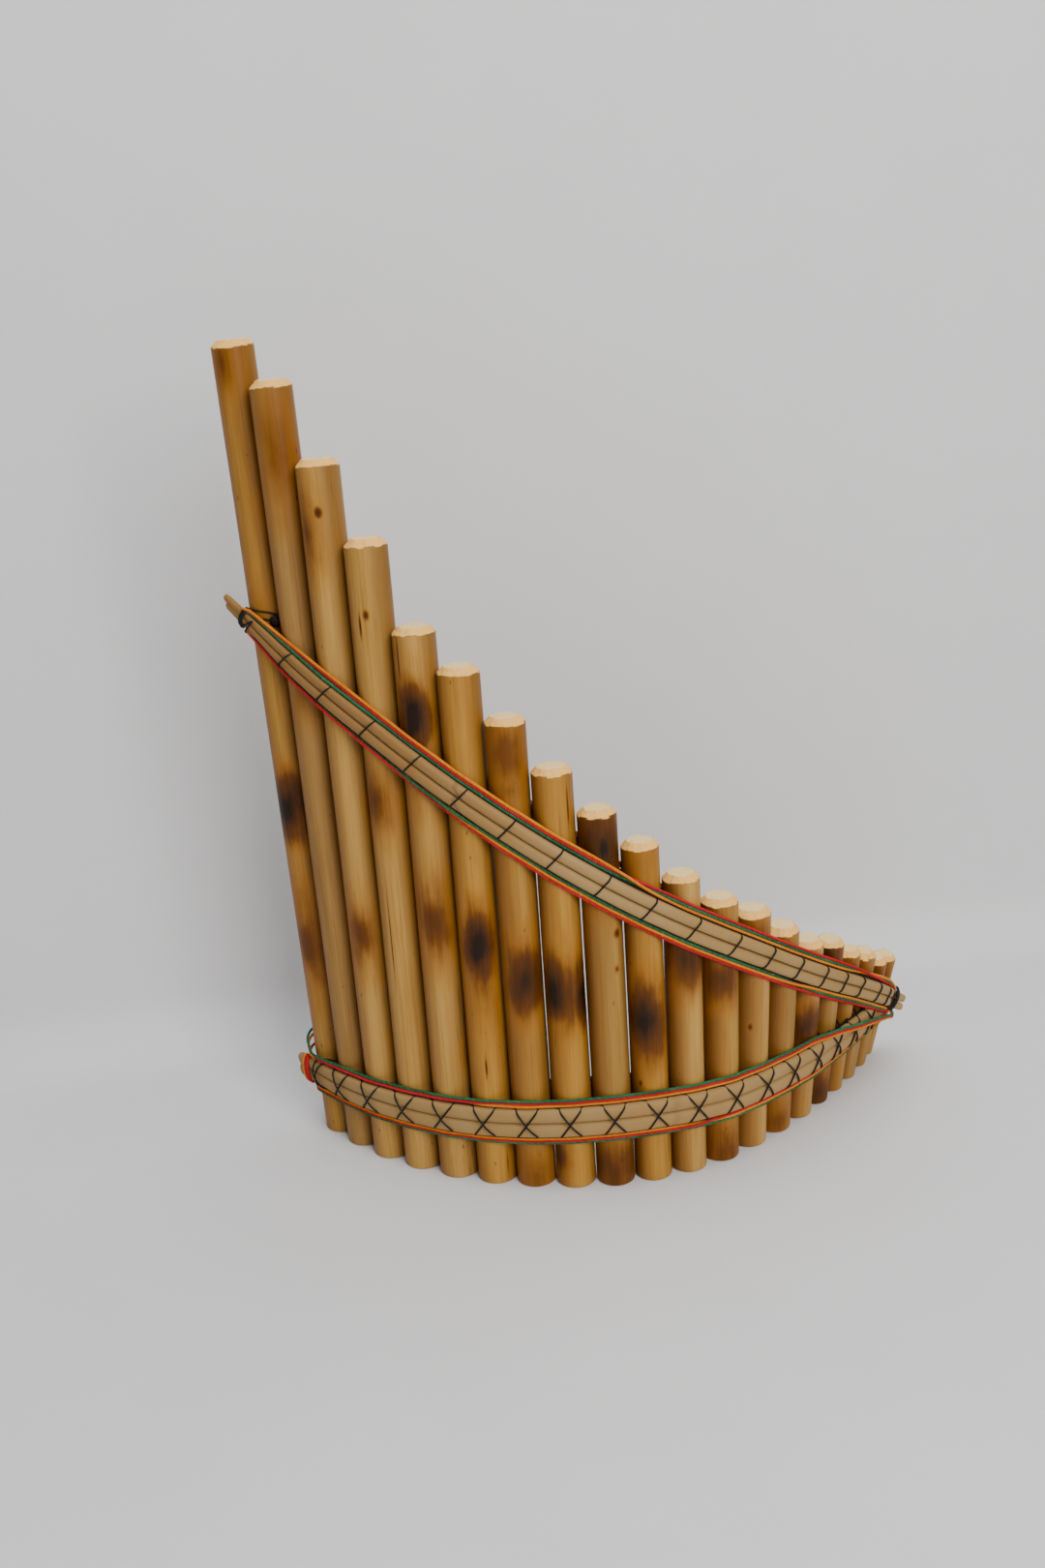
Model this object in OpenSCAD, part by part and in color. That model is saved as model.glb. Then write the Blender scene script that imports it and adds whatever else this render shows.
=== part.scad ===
// Curved pan flute of stopped cane pipes, standing upside down on its mouths.
// Two bands of split cane, lashed with thread and edged with cords, hold the row.
// +X runs from the longest pipe to the shortest, -Y is the convex side, +Z is up.

/* [Scale] */
// Key number of the longest pipe's note
low_key = 59; // [57:1:62]
// Speed of sound, in metres a second
sound_speed = 345; // [340:1:350]
// How much shorter than a quarter wave the air column is, in bores
end_correction = 0.65; // [0.5:0.05:0.8]

/* [Pipes] */
// Thickness of the cane's wall
cane_wall = 1.3; // [1:0.1:1.6]
// How much thicker or thinner each cane's wall is than that
wall_change = [0, 0, 0, 0, 0, 0, 0, 0, -0.1, 0, 0.1, 0, 0, 0, 0.1, 0, 0.2, 0, 0, 0];
// Gap between neighbouring pipes at the mouths
pipe_gap = 0.3; // [0.2:0.1:0.6]
// Height of the cut edge at the closed end, as a share of the diameter
chamfer_share = 0.16; // [0.1:0.01:0.2]

/* [Row] */
// Turn of the row at each pipe of the low end, in degrees
turn_low = 6.7; // [5:0.1:8]
// Turn of the row at each pipe of the middle, in degrees
turn_mid = 9.7; // [8:0.1:11]
// Turn of the row at each pipe of the high end, in degrees
turn_high = 3.1; // [2:0.1:5]
// Outward lean of the shortest pipe, in degrees
lean_high = 13; // [8:0.5:14]
// Outward lean of the longest pipe, in degrees
lean_low = 1.9; // [0:0.1:2.5]

/* [Bands] */
// Height of the upper band's middle at the longest pipe
upper_high = 233.5; // [225:0.5:240]
// Height of the upper band's middle at the shortest pipe
upper_low = 34; // [32:0.5:40]
// How far the upper band hangs under a straight line
upper_sag = 9.7; // [5:0.1:12]
// Height of the lower band's middle at its ends
lower_height = 29.9; // [27:0.1:31]
// Rise of the lower band over the middle pipes
lower_rise = 2.2; // [0:0.1:4]
// Rise of the lower band to the shortest pipe
lower_kick = 2.5; // [0:0.1:3]
// Width of one cane strip of the upper band
upper_strip_w = 4.8; // [4:0.1:5.5]
// Width of one cane strip of the lower band
lower_strip_w = 6.4; // [5.5:0.1:7]
// Thickness of the cane strips
strip_t = 2.8; // [2:0.1:3.2]

/* [Threads] */
// Diameter of the black lashing thread
thread_d = 0.7; // [0.5:0.1:0.9]
// Diameter of the coloured trim cords
cord_d = 1.2; // [1:0.1:1.3]

/* [Hidden] */
// Outside diameter of each cane at its mouth, longest pipe first
cane_d = [17, 17, 17.5, 17.5, 17.5, 17, 16.5, 16.5, 16, 15.5,
          15.5, 16, 16, 15.5, 15, 13.5, 13, 13, 12.5, 11];
// Wood left beyond each air column: the cane's own node and the stub cut past it
node_wood = [5, 9, 15.5, 17.5, 12.5, 10, 14, 15, 7, 9.5,
             9.5, 11, 8, 7, 6, 5, 4, 6, 4.5, 3.5];
// Semitones above the octave's first note, for the seven notes of an octave
scale_steps = [0, 1, 3, 5, 7, 8, 10];
count = len(cane_d);
last = count - 1;
low_turns = 7; // pipes that turn by turn_low
mid_turns = 4; // pipes that turn by turn_mid
concert_key = 69; // key number of the 440 Hz note
concert_hz = 440;
octave = 12;
cane_shrink = 0.02; // how much narrower a cane is at its closed end
mouth_round = 0.5; // bevel of the rim at the mouth
high_start = 8; // pipe index at which the outward lean of the high end starts
low_end = 3.5; // pipe index at which the outward lean of the low end ends
lean_power = 1.4;
low_power = 1.2;
mid_pipe = 8.5; // pipe index at which the lower band is highest, and how many pipes it rises over
mid_spread = 2.3;
seat = 0.15; // gap between a band and the canes
strip_gap = 0.1; // gap between the two strips of a band
thread_room = thread_d + 0.15; // between a strip's edge and the first cord
lane_pitch = cord_d + 0.05;
tube_sides = 6;
end_turns = 6; // steps of a cord's bend round the end pipe
upper_stub_low = 15; // length of the upper strips past the longest pipe
upper_stub_high = 12; // and past the shortest
lower_stub_low = 10;
lower_stub_high = 2;
cross_from = 14; // pipe index from which the lower band's top cords slant down
cross_drop = 17; // how far they come down by the last pipe
origin_x = 1.8; // moves the row so that the origin is under the middle of its box
origin_y = 37.5;

function pipe_name(i) = str("pipe_", i < 9 ? "0" : "", i + 1);

// ---- The pipes' notes and lengths

function note_hz(i) = concert_hz
    * pow(2, (low_key + octave * floor(i / 7) + scale_steps[i % 7] - concert_key) / octave);
function bore_r(i) = cane_d[i] / 2 - cane_wall - wall_change[i];
function air_column(i) = 1000 * sound_speed / note_hz(i) / 4 - 2 * end_correction * bore_r(i);
function pipe_length(i) = air_column(i) + node_wood[i];
function pipe_r(i, h) = cane_d[i] / 2 * (1 - cane_shrink * h / pipe_length(i));

// ---- The row in plan

function heading(i) = turn_low * min(i, low_turns)
    + turn_mid * max(0, min(i - low_turns, mid_turns))
    + turn_high * max(0, i - low_turns - mid_turns);
function pitch(i) = (cane_d[i] + cane_d[i + 1]) / 2 + pipe_gap;
function raw_row(i = 0, p = [0, 0]) = i == last ? [p]
    : concat([p], raw_row(i + 1, p + pitch(i) * [cos(heading(i)), sin(heading(i))]));
function turned(p, a) = [p[0] * cos(a) - p[1] * sin(a), p[0] * sin(a) + p[1] * cos(a)];

raw = raw_row();
chord_angle = atan2(raw[last][1], raw[last][0]);
row = [for (p = raw) turned(p - raw[last] / 2, -chord_angle) + [origin_x, origin_y]];
arc = [for (i = 0, s = 0; i <= last; s = s + (i < last ? pitch(i) : 0), i = i + 1) s];

// Direction along the row at a pipe, and outwards from it
function along(i) = (heading(max(0, i - 1)) + heading(min(last - 1, i))) / 2 - chord_angle;
function outward(i) = along(i) - 90;
function lean(i) = lean_high * pow(max(0, i - high_start) / (last - high_start), lean_power)
    + lean_low * pow(max(0, low_end - i) / low_end, low_power);
function lift(i) = cane_d[i] / 2 * sin(lean(i));

function axis_dir(i) = [sin(lean(i)) * cos(outward(i)), sin(lean(i)) * sin(outward(i)), cos(lean(i))];
function out_dir(i) = [cos(lean(i)) * cos(outward(i)), cos(lean(i)) * sin(outward(i)), -sin(lean(i))];
function row_dir(i) = [cos(along(i)), sin(along(i)), 0];
function foot(i) = [row[i][0], row[i][1], lift(i)];

// A point h up a pipe and q off its surface, turned by a about the pipe from its outer side
function beside(i, h, q, a = 0) = foot(i) + axis_dir(i) * h
    + (out_dir(i) * cos(a) + row_dir(i) * sin(a)) * (pipe_r(i, h) + q);

// ---- The bands: which pipe, where across the band, and how far off the canes

front = 0;
back = 180;

function upper_mid(i) = let (u = arc[i] / arc[last])
    upper_high + (upper_low - upper_high) * u - upper_sag * sin(180 * pow(u, 1.5));
function lower_mid(i) = lower_height + lower_rise * exp(-pow((i - mid_pipe) / mid_spread, 2))
    + lower_kick * crossing(i, 1);
function slope(i) = let (a = max(0, i - 1), b = min(last, i + 1))
    atan2(upper_mid(b) - upper_mid(a), arc[b] - arc[a]);
// The upper band narrows to its stubs, and its high end rides over the lower band's
function upper_width(i) = upper_strip_w * (1 - 0.35 * exp(-i) - 0.12 * exp((i - last) / 2));
function upper_off(i) = seat + (strip_t + seat) * max(0, min(1, (i - last + 3) / 1.5));
function upper_at(i, across) = upper_mid(i) + across / cos(slope(i));
function lower_width(i) = lower_strip_w * (1 - 0.12 * exp(-i));

// A strip's cross-section: flat against the canes, rounded outside
function strip_section(w, t) = [[-w / 2, 0], [-w / 2, t * 0.4], [-w * 0.36, t * 0.82],
    [-w * 0.14, t], [w * 0.14, t], [w * 0.36, t * 0.82], [w / 2, t * 0.4], [w / 2, 0]];

// Closes rings of points into one solid; looped joins the last ring to the first
module skin(rings, looped = false) {
    n = len(rings[0]);
    m = len(rings);
    sides = [for (k = [0 : m - (looped ? 1 : 2)], j = [0 : n - 1])
        let (a = k * n, b = ((k + 1) % m) * n, j2 = (j + 1) % n)
        each [[a + j, b + j, b + j2], [a + j, b + j2, a + j2]]];
    caps = looped ? [] : [[for (j = [0 : n - 1]) j], [for (j = [n - 1 : -1 : 0]) (m - 1) * n + j]];
    polyhedron([for (r = rings) each r], concat(sides, caps), convexity = 8);
}

// Adds a straight stub of a given length before the first ring and after the last
function stretch(ring, from, length) = let (d = ring[0] - from[0], k = length / norm(d))
    [for (j = [0 : len(ring) - 1]) ring[j] + (ring[j] - from[j]) * k];
function with_stubs(rings, low, high) = let (m = len(rings))
    concat([stretch(rings[0], rings[1], low)], rings, [stretch(rings[m - 1], rings[m - 2], high)]);

function upper_ring(i, row_side, side) = let (w = upper_width(i), mid = row_side * (w + strip_gap) / 2)
    [for (p = strip_section(w, strip_t))
        beside(i, upper_at(i, mid + p[0]), upper_off(i) + p[1], side)];
function lower_ring(i, row_side, side) = let (w = lower_width(i), mid = row_side * (w + strip_gap) / 2)
    [for (p = strip_section(w, strip_t)) beside(i, lower_mid(i) + mid + p[0], seat + p[1], side)];
function facing(rings, side) = side == front ? rings : [for (r = rings) [for (j = [len(r) - 1 : -1 : 0]) r[j]]];

module upper_strip(row_side, side) {
    color("burlywood")
    skin(facing(with_stubs([for (i = [0 : last]) upper_ring(i, row_side, side)],
        side == front ? upper_stub_low : lower_stub_low,
        side == front ? upper_stub_high : lower_stub_high), side));
}

module lower_strip(row_side, side) {
    color("burlywood")
    skin(facing(with_stubs([for (i = [0 : last]) lower_ring(i, row_side, side)],
        lower_stub_low, lower_stub_high), side));
}

// ---- Cords and threads: round tubes along a list of points

function unit(v) = v / norm(v);
function tangent(p, k) = unit(p[min(k + 1, len(p) - 1)] - p[max(k - 1, 0)]);
function ring_about(c, t, up, r) = let (x = unit(cross(t, up)), y = cross(x, t))
    [for (j = [0 : tube_sides - 1]) c + r * (x * cos(360 * j / tube_sides) - y * sin(360 * j / tube_sides))];

// up is any direction that the path never runs along
module tube(path, d, up = [0, 0, 1]) {
    skin([for (k = [0 : len(path) - 1]) ring_about(path[k], tangent(path, k), up, d / 2)]);
}

// Lane 0 lies next to the strips, lane 2 outermost; edge is 1 above the band and -1 below
function lane_off(lane, half_width, edge) = edge * (half_width + thread_room + (lane + 0.5) * lane_pitch);
function upper_lane(i, lane, edge, side) = beside(i,
    upper_at(i, lane_off(lane, upper_width(i) + strip_gap / 2, edge)),
    upper_off(i) + cord_d / 2, side);
// The lower band's top cords come down over the strips towards the high end
function crossing(i, edge) = edge > 0 ? max(0, i - cross_from) / (last - cross_from) : 0;
function lower_h(i, lane, edge) = lower_mid(i) + lane_off(lane, lower_strip_w + strip_gap / 2, edge)
    - cross_drop * pow(crossing(i, edge), 1.6);
function lower_q(i, edge) = seat + cord_d / 2
    + (strip_t + 2 * thread_d + seat) * min(1, 3 * crossing(i, edge));
function lower_lane(i, lane, edge, side) = beside(i, lower_h(i, lane, edge), lower_q(i, edge), side);

// An upper cord runs along one edge of the band on one side, from binding to binding
module upper_cord(lane_top, lane_bottom) {
    for (side = [front, back], edge = [-1, 1])
        tube([for (i = [0 : last]) upper_lane(i, edge > 0 ? lane_top : lane_bottom, edge, side)], cord_d);
}

// A lower cord runs along the front, round the longest pipe and along the back
module lower_cord(lane_top, lane_bottom) {
    for (edge = [-1, 1]) {
        lane = edge > 0 ? lane_top : lane_bottom;
        h = lower_h(0, lane, edge);
        q = lower_q(0, edge) + strip_t / 2;
        tube(concat(
            [for (i = [last : -1 : 1]) lower_lane(i, lane, edge, front)],
            [for (k = [0 : end_turns]) beside(0, h, q, -180 * k / end_turns)],
            [for (i = [1 : last]) lower_lane(i, lane, edge, back)]), cord_d);
    }
}

// A point of the gap after pipe i: s of the way to the next pipe
function between(i, s, h0, h1, q, side) = (1 - s) * beside(i, h0, q, side) + s * beside(i + 1, h1, q, side);
function upper_gap(i, s, across, q, side) = between(i, s, upper_at(i, across), upper_at(i + 1, across),
    (upper_off(i) + upper_off(i + 1)) / 2 + q, side);
function lower_gap(i, s, across, q, side) = between(i, s, lower_mid(i) + across, lower_mid(i + 1) + across,
    seat + q, side);

// A thread comes out of the valley below the band, crosses it and goes back in above it
tuck = 2.5; // how deep a thread's ends reach between two pipes
over = strip_t + thread_d / 2 + 0.05;
function thread_stops(half, from, to, bulge) = let (
        edge = half + thread_room / 2, hold = 0.5 + (from - 0.5) * 0.15, let_go = 0.5 + (to - 0.5) * 0.15) [
    [hold, -edge, -tuck], [(0.5 + from) / 2, -edge, strip_t * 0.3], [from, -half * 0.72, over],
    [(from + to) / 2, 0, over + bulge], [to, half * 0.72, over],
    [(0.5 + to) / 2, edge, strip_t * 0.3], [let_go, edge, -tuck]];

module upper_thread(i, side) {
    half = (upper_width(i) + upper_width(i + 1)) / 2 + strip_gap / 2;
    tube([for (p = thread_stops(half, 0.28, 0.72, 0)) upper_gap(i, p[0], p[1], p[2], side)], thread_d, row_dir(i));
}

module lower_thread(i, side, from, to, bulge) {
    half = lower_strip_w + strip_gap / 2;
    tube([for (p = thread_stops(half, from, to, bulge)) lower_gap(i, p[0], p[1], p[2], side)], thread_d, row_dir(i));
}

module upper_lashing() {
    color("black")
    for (i = [0 : last - 1], side = [front, back]) upper_thread(i, side);
}

module lower_lashing() {
    color("black")
    for (i = [0 : last - 3], side = [front, back]) {
        lower_thread(i, side, 0.15, 0.85, 0);
        lower_thread(i, side, 0.85, 0.15, thread_d + 0.1);
    }
}

// ---- Bindings at the ends

bind_steps = 12;

// One turn round a stub: centre, half width and half thickness of the turn, and its two directions
module stub_turn(c, across, out, half_w, half_t, d) {
    n = cross(across, out);
    path = [for (k = [0 : bind_steps - 1]) let (a = 360 * k / bind_steps)
        c + across * half_w * cos(a) + out * half_t * sin(a)];
    skin([for (k = [0 : bind_steps - 1])
        let (t = unit(path[(k + 1) % bind_steps] - path[(k + bind_steps - 1) % bind_steps]))
        ring_about(path[k], t, n, d / 2)], looped = true);
}

// Turns round the front stub of the upper band, beyond pipe i; step is along the stub
module upper_stub_turns(i, first, turns, step, d) {
    dir = i == 0 ? -1 : 1;
    along_stub = unit(dir * row_dir(i) * cos(slope(i)) + dir * axis_dir(i) * sin(slope(i)));
    across = unit(cross(out_dir(i), along_stub));
    c = beside(i, upper_mid(i), upper_off(i) + strip_t / 2);
    for (k = [0 : turns - 1])
        stub_turn(c + along_stub * (first + k * step), across, out_dir(i),
            upper_width(i) + strip_gap + d, strip_t / 2 + d, d);
}

module upper_left_binding() {
    color("black") upper_stub_turns(0, 5, 3, thread_d + 0.1, thread_d);
}

module right_binding() {
    color("black") upper_stub_turns(last, 4, 4, thread_d + 0.1, thread_d);
}

module upper_left_knot() {
    knot_r = 1.8;
    color("black")
    for (k = [-1 : 1])
        translate(upper_gap(0, 0.5, k * knot_r, strip_t + knot_r + 1, front)) sphere(r = knot_r, $fn = 24);
}

module lower_left_wrap() {
    c = beside(0, lower_mid(0), seat + strip_t / 2);
    half_w = lower_width(0) + strip_gap / 2 + cord_d / 2;
    for (k = [0 : 2])
        color(k < 2 ? "red" : "orange")
        stub_turn(c - row_dir(0) * (5.9 + k * (cord_d + 0.1)), axis_dir(0), out_dir(0),
            half_w, strip_t / 2 + cord_d, cord_d);
}

// ---- A pipe: cane with a blind bore, open at its foot and closed by its node on top

module pipe(i) {
    length = pipe_length(i);
    r = cane_d[i] / 2;
    tip_r = r * (1 - cane_shrink);
    cut = chamfer_share * cane_d[i];
    color(i % 3 == 0 ? "goldenrod" : i % 3 == 1 ? "darkgoldenrod" : "peru")
    translate(foot(i)) rotate([0, lean(i), outward(i)]) difference() {
        rotate_extrude($fn = 64) polygon([[0, 0], [r - mouth_round, 0], [r, mouth_round],
            [tip_r, length - cut], [tip_r - cut, length], [0, length]]);
        translate([0, 0, -1]) cylinder(h = air_column(i) + 1, r = bore_r(i), $fn = 64);
    }
}

for (i = [0 : last]) pipe(i);
upper_strip(1, front);  // upper_front_strip_top
upper_strip(-1, front);  // upper_front_strip_bottom
upper_strip(1, back);  // upper_back_strip_top
upper_strip(-1, back);  // upper_back_strip_bottom
lower_strip(1, front);  // lower_front_strip_top
lower_strip(-1, front);  // lower_front_strip_bottom
lower_strip(1, back);  // lower_back_strip_top
lower_strip(-1, back);  // lower_back_strip_bottom
upper_lashing();
lower_lashing();
color("seagreen") upper_cord(0, 0);  // upper_green_cord
color("crimson") upper_cord(1, 2);  // upper_red_cord
color("orange") upper_cord(2, 1);  // upper_orange_cord
color("seagreen") lower_cord(2, 2);  // lower_green_cord
color("crimson") lower_cord(1, 1);  // lower_red_cord
color("orange") lower_cord(0, 0);  // lower_orange_cord
upper_left_binding();
upper_left_knot();
right_binding();
lower_left_wrap();
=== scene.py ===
import math
import random
import bpy
from mathutils import Matrix, Vector


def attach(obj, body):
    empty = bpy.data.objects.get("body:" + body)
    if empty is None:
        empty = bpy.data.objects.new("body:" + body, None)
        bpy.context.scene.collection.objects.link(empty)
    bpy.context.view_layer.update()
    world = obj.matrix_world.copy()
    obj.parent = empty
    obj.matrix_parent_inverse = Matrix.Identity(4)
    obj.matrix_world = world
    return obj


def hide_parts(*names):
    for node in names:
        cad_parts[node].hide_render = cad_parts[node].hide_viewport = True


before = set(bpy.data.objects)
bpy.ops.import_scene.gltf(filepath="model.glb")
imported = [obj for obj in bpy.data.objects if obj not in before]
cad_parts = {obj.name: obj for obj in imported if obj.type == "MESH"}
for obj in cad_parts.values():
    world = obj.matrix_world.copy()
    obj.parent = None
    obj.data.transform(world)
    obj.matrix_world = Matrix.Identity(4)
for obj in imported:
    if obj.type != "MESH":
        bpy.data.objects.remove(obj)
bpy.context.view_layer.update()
print("frame loaded:", len(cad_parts), "cad nodes")

mm = 0.001
front = 0  # turn about a cane of the convex side
back = 180


# ---- where everything is: the same row and bands as the cad part

# lengths in millimetres, turns and leans in degrees
row = {
    "caneWidths": (17, 17, 17.5, 17.5, 17.5, 17, 16.5, 16.5, 16, 15.5,
                   15.5, 16, 16, 15.5, 15, 13.5, 13, 13, 12.5, 11),
    "closedWood": (5, 9, 15.5, 17.5, 12.5, 10, 14, 15, 7, 9.5,
                   9.5, 11, 8, 7, 6, 5, 4, 6, 4.5, 3.5),
    "semitones": (0, 1, 3, 5, 7, 8, 10),
    "lowKey": 59,
    "soundSpeed": 345,
    "endCorrection": 0.65,  # in bores
    "wall": 1.3,
    "wallChanges": {8: -0.1, 10: 0.1, 14: 0.1, 16: 0.2},  # canes whose wall is thinner or thicker
    "gap": 0.3,
    "shrink": 0.02,
    "cutShare": 0.16,
    "rim": 0.5,
    "turnLow": 6.7,
    "turnMid": 9.7,
    "turnHigh": 3.1,
    "leanHigh": 13,
    "leanLow": 1.9,
    "originX": 1.8,
    "originY": 37.5,
}
caneCount = len(row["caneWidths"])
lastCane = caneCount - 1


def rowHeading(i):
    return (row["turnLow"] * min(i, 7) + row["turnMid"] * max(0, min(i - 7, 4))
            + row["turnHigh"] * max(0, i - 11))


def boreRadius(i):
    return row["caneWidths"][i] / 2 - row["wall"] - row["wallChanges"].get(i, 0)


def airLength(i):
    key = row["lowKey"] + 12 * (i // 7) + row["semitones"][i % 7]
    pitch = 440 * 2 ** ((key - 69) / 12)
    return 1000 * row["soundSpeed"] / pitch / 4 - 2 * row["endCorrection"] * boreRadius(i)


def layOutRow():
    spots = [Vector((0, 0))]
    reach = [0]
    for i in range(lastCane):
        step = (row["caneWidths"][i] + row["caneWidths"][i + 1]) / 2 + row["gap"]
        turn = math.radians(rowHeading(i))
        spots.append(spots[-1] + Vector((math.cos(turn), math.sin(turn))) * step)
        reach.append(reach[-1] + step)
    chord = math.atan2(spots[-1].y, spots[-1].x)
    square = Matrix.Rotation(-chord, 2)
    middle = spots[-1] / 2
    made = []
    for i, spot in enumerate(spots):
        along = (rowHeading(max(0, i - 1)) + rowHeading(min(lastCane - 1, i))) / 2
        along = math.radians(along) - chord
        lean = (row["leanHigh"] * (max(0, i - 8) / (lastCane - 8)) ** 1.4
                + row["leanLow"] * (max(0, 3.5 - i) / 3.5) ** 1.2)
        lean = math.radians(lean)
        flatOut = Vector((math.sin(along), -math.cos(along), 0))
        place = square @ (spot - middle)
        width = row["caneWidths"][i]
        made.append({
            "width": width,
            "radius": width / 2,
            "air": airLength(i),
            "length": airLength(i) + row["closedWood"][i],
            "reach": reach[i],
            "foot": Vector((place.x + row["originX"], place.y + row["originY"], width / 2 * math.sin(lean))),
            "axis": flatOut * math.sin(lean) + Vector((0, 0, math.cos(lean))),
            "out": flatOut * math.cos(lean) - Vector((0, 0, math.sin(lean))),
            "along": Vector((math.cos(along), math.sin(along), 0)),
        })
    return made


canes = layOutRow()
rowReach = canes[-1]["reach"]


def beside(i, height, off, turn=0):
    # a point up cane i, off its surface, turned about it from its outer side, in metres
    cane = canes[i]
    turn = math.radians(turn)
    radius = cane["radius"] * (1 - row["shrink"] * height / cane["length"])
    side = cane["out"] * math.cos(turn) + cane["along"] * math.sin(turn)
    return (cane["foot"] + cane["axis"] * height + side * (radius + off)) * mm


bands = {
    "upperHigh": 233.5,
    "upperLow": 34,
    "upperSag": 9.7,
    "upperWidth": 4.8,  # of one strip
    "lowerHeight": 29.9,
    "lowerRise": 2.2,
    "lowerKick": 2.5,
    "lowerWidth": 6.4,
    "thickness": 2.8,
    "seat": 0.15,
    "split": 0.1,  # between the two strips
    "crossFrom": 14,  # cane from which the lower band's top cords slant down
    "crossDrop": 17,
    "upperTurnBack": 26,  # degrees by which the upper band's high end falls short of the last crest
}


def upperMid(i):
    share = canes[i]["reach"] / rowReach
    return (bands["upperHigh"] + (bands["upperLow"] - bands["upperHigh"]) * share
            - bands["upperSag"] * math.sin(math.pi * share ** 1.5))


def upperSlope(i):
    low, high = max(0, i - 1), min(lastCane, i + 1)
    return math.atan2(upperMid(high) - upperMid(low), canes[high]["reach"] - canes[low]["reach"])


def upperWidth(i):
    return bands["upperWidth"] * (1 - 0.35 * math.exp(-i) - 0.12 * math.exp((i - lastCane) / 2))


def upperOff(i):  # the upper band's high end rides over the lower band
    ride = max(0, min(1, (i - lastCane + 3) / 1.5))
    return bands["seat"] + (bands["thickness"] + bands["seat"]) * ride


def upperAt(i, across):
    return upperMid(i) + across / math.cos(upperSlope(i))


def crossing(i):
    return max(0, i - bands["crossFrom"]) / (lastCane - bands["crossFrom"])


def lowerMid(i):
    return (bands["lowerHeight"] + bands["lowerRise"] * math.exp(-((i - 8.5) / 2.3) ** 2)
            + bands["lowerKick"] * crossing(i))


def lowerWidth(i):
    return bands["lowerWidth"] * (1 - 0.12 * math.exp(-i))


def onUpper(i, across, off, side):
    early = 0 if side else bands["upperTurnBack"] * max(0, (i - lastCane + 3) / 3) ** 1.5
    return beside(i, upperAt(i, across), upperOff(i) + off, side - early)


def onLower(i, across, off, side):
    return beside(i, lowerMid(i) + across, bands["seat"] + off, side)


# ---- small tools for node trees

socketKinds = {"geometry": "NodeSocketGeometry", "float": "NodeSocketFloat", "int": "NodeSocketInt",
               "vector": "NodeSocketVector", "color": "NodeSocketColor", "material": "NodeSocketMaterial"}


def newGroup(name, kind, takes, gives):
    tree = bpy.data.node_groups.new(name, kind)
    for label, sort, start in takes:
        socket = tree.interface.new_socket(label, in_out="INPUT", socket_type=socketKinds[sort])
        if start is not None:
            socket.default_value = start
    for label, sort in gives:
        tree.interface.new_socket(label, in_out="OUTPUT", socket_type=socketKinds[sort])
    given = tree.nodes.new("NodeGroupInput")
    result = tree.nodes.new("NodeGroupOutput")
    return tree, given.outputs, result.inputs


def add(tree, kind, inputs=None, **settings):
    node = tree.nodes.new(kind)
    for name, value in settings.items():
        setattr(node, name, value)
    for name, value in (inputs or {}).items():
        feed(tree, value, node.inputs[name])
    return node


def feed(tree, value, socket):
    if isinstance(value, bpy.types.NodeSocket):
        tree.links.new(value, socket)
    else:
        socket.default_value = value


def calc(tree, operation, *values, clamp=False):
    node = add(tree, "ShaderNodeMath", operation=operation, use_clamp=clamp)
    for value, socket in zip(values, node.inputs):
        feed(tree, value, socket)
    return node.outputs[0]


def vectorCalc(tree, operation, *values):
    node = add(tree, "ShaderNodeVectorMath", operation=operation)
    for value, socket in zip(values, node.inputs):
        feed(tree, value, socket)
    return node.outputs["Vector"]


def scaled(tree, vector, amount):
    node = add(tree, "ShaderNodeVectorMath", {"Vector": vector, "Scale": amount}, operation="SCALE")
    return node.outputs["Vector"]


def mapped(tree, value, low, high, toLow=0.0, toHigh=1.0, smooth=False):
    node = add(tree, "ShaderNodeMapRange", interpolation_type="SMOOTHSTEP" if smooth else "LINEAR")
    for start, socket in zip((value, low, high, toLow, toHigh), node.inputs):
        feed(tree, start, socket)
    return node.outputs[0]


def blend(tree, amount, first, second):
    node = add(tree, "ShaderNodeMix", data_type="RGBA")
    for value, socket in zip((amount, first, second), (node.inputs[0], node.inputs[6], node.inputs[7])):
        feed(tree, value, socket)
    return node.outputs[2]


def noise(tree, vector, detail=2.0, roughness=0.5, scale=1.0):
    node = add(tree, "ShaderNodeTexNoise", {"Vector": vector, "Scale": scale, "Detail": detail,
                                            "Roughness": roughness})
    return node.outputs[0]


def runTree(name, tree, mesh, inputs):
    # puts the tree on a stand-in object and gives back what it makes as a plain mesh
    standIn = bpy.data.objects.new(name + "Source", mesh)
    bpy.context.scene.collection.objects.link(standIn)
    modifier = standIn.modifiers.new(tree.name, "NODES")
    modifier.node_group = tree
    for item in tree.interface.items_tree:
        if item.item_type == "SOCKET" and item.in_out == "INPUT" and item.name in inputs:
            modifier[item.identifier] = inputs[item.name]
    bpy.context.view_layer.update()
    seen = bpy.context.evaluated_depsgraph_get()
    made = bpy.data.meshes.new_from_object(standIn.evaluated_get(seen), preserve_all_data_layers=True,
                                           depsgraph=seen)
    made.name = name
    bpy.data.objects.remove(standIn)
    return made


def showPiece(name, mesh, slot, *nodes):
    piece = bpy.data.objects.new(name, mesh)
    bpy.context.scene.collection.objects.link(piece)
    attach(piece, "root")
    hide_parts(*nodes)
    return piece


# ---- shader groups shared by the materials

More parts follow.
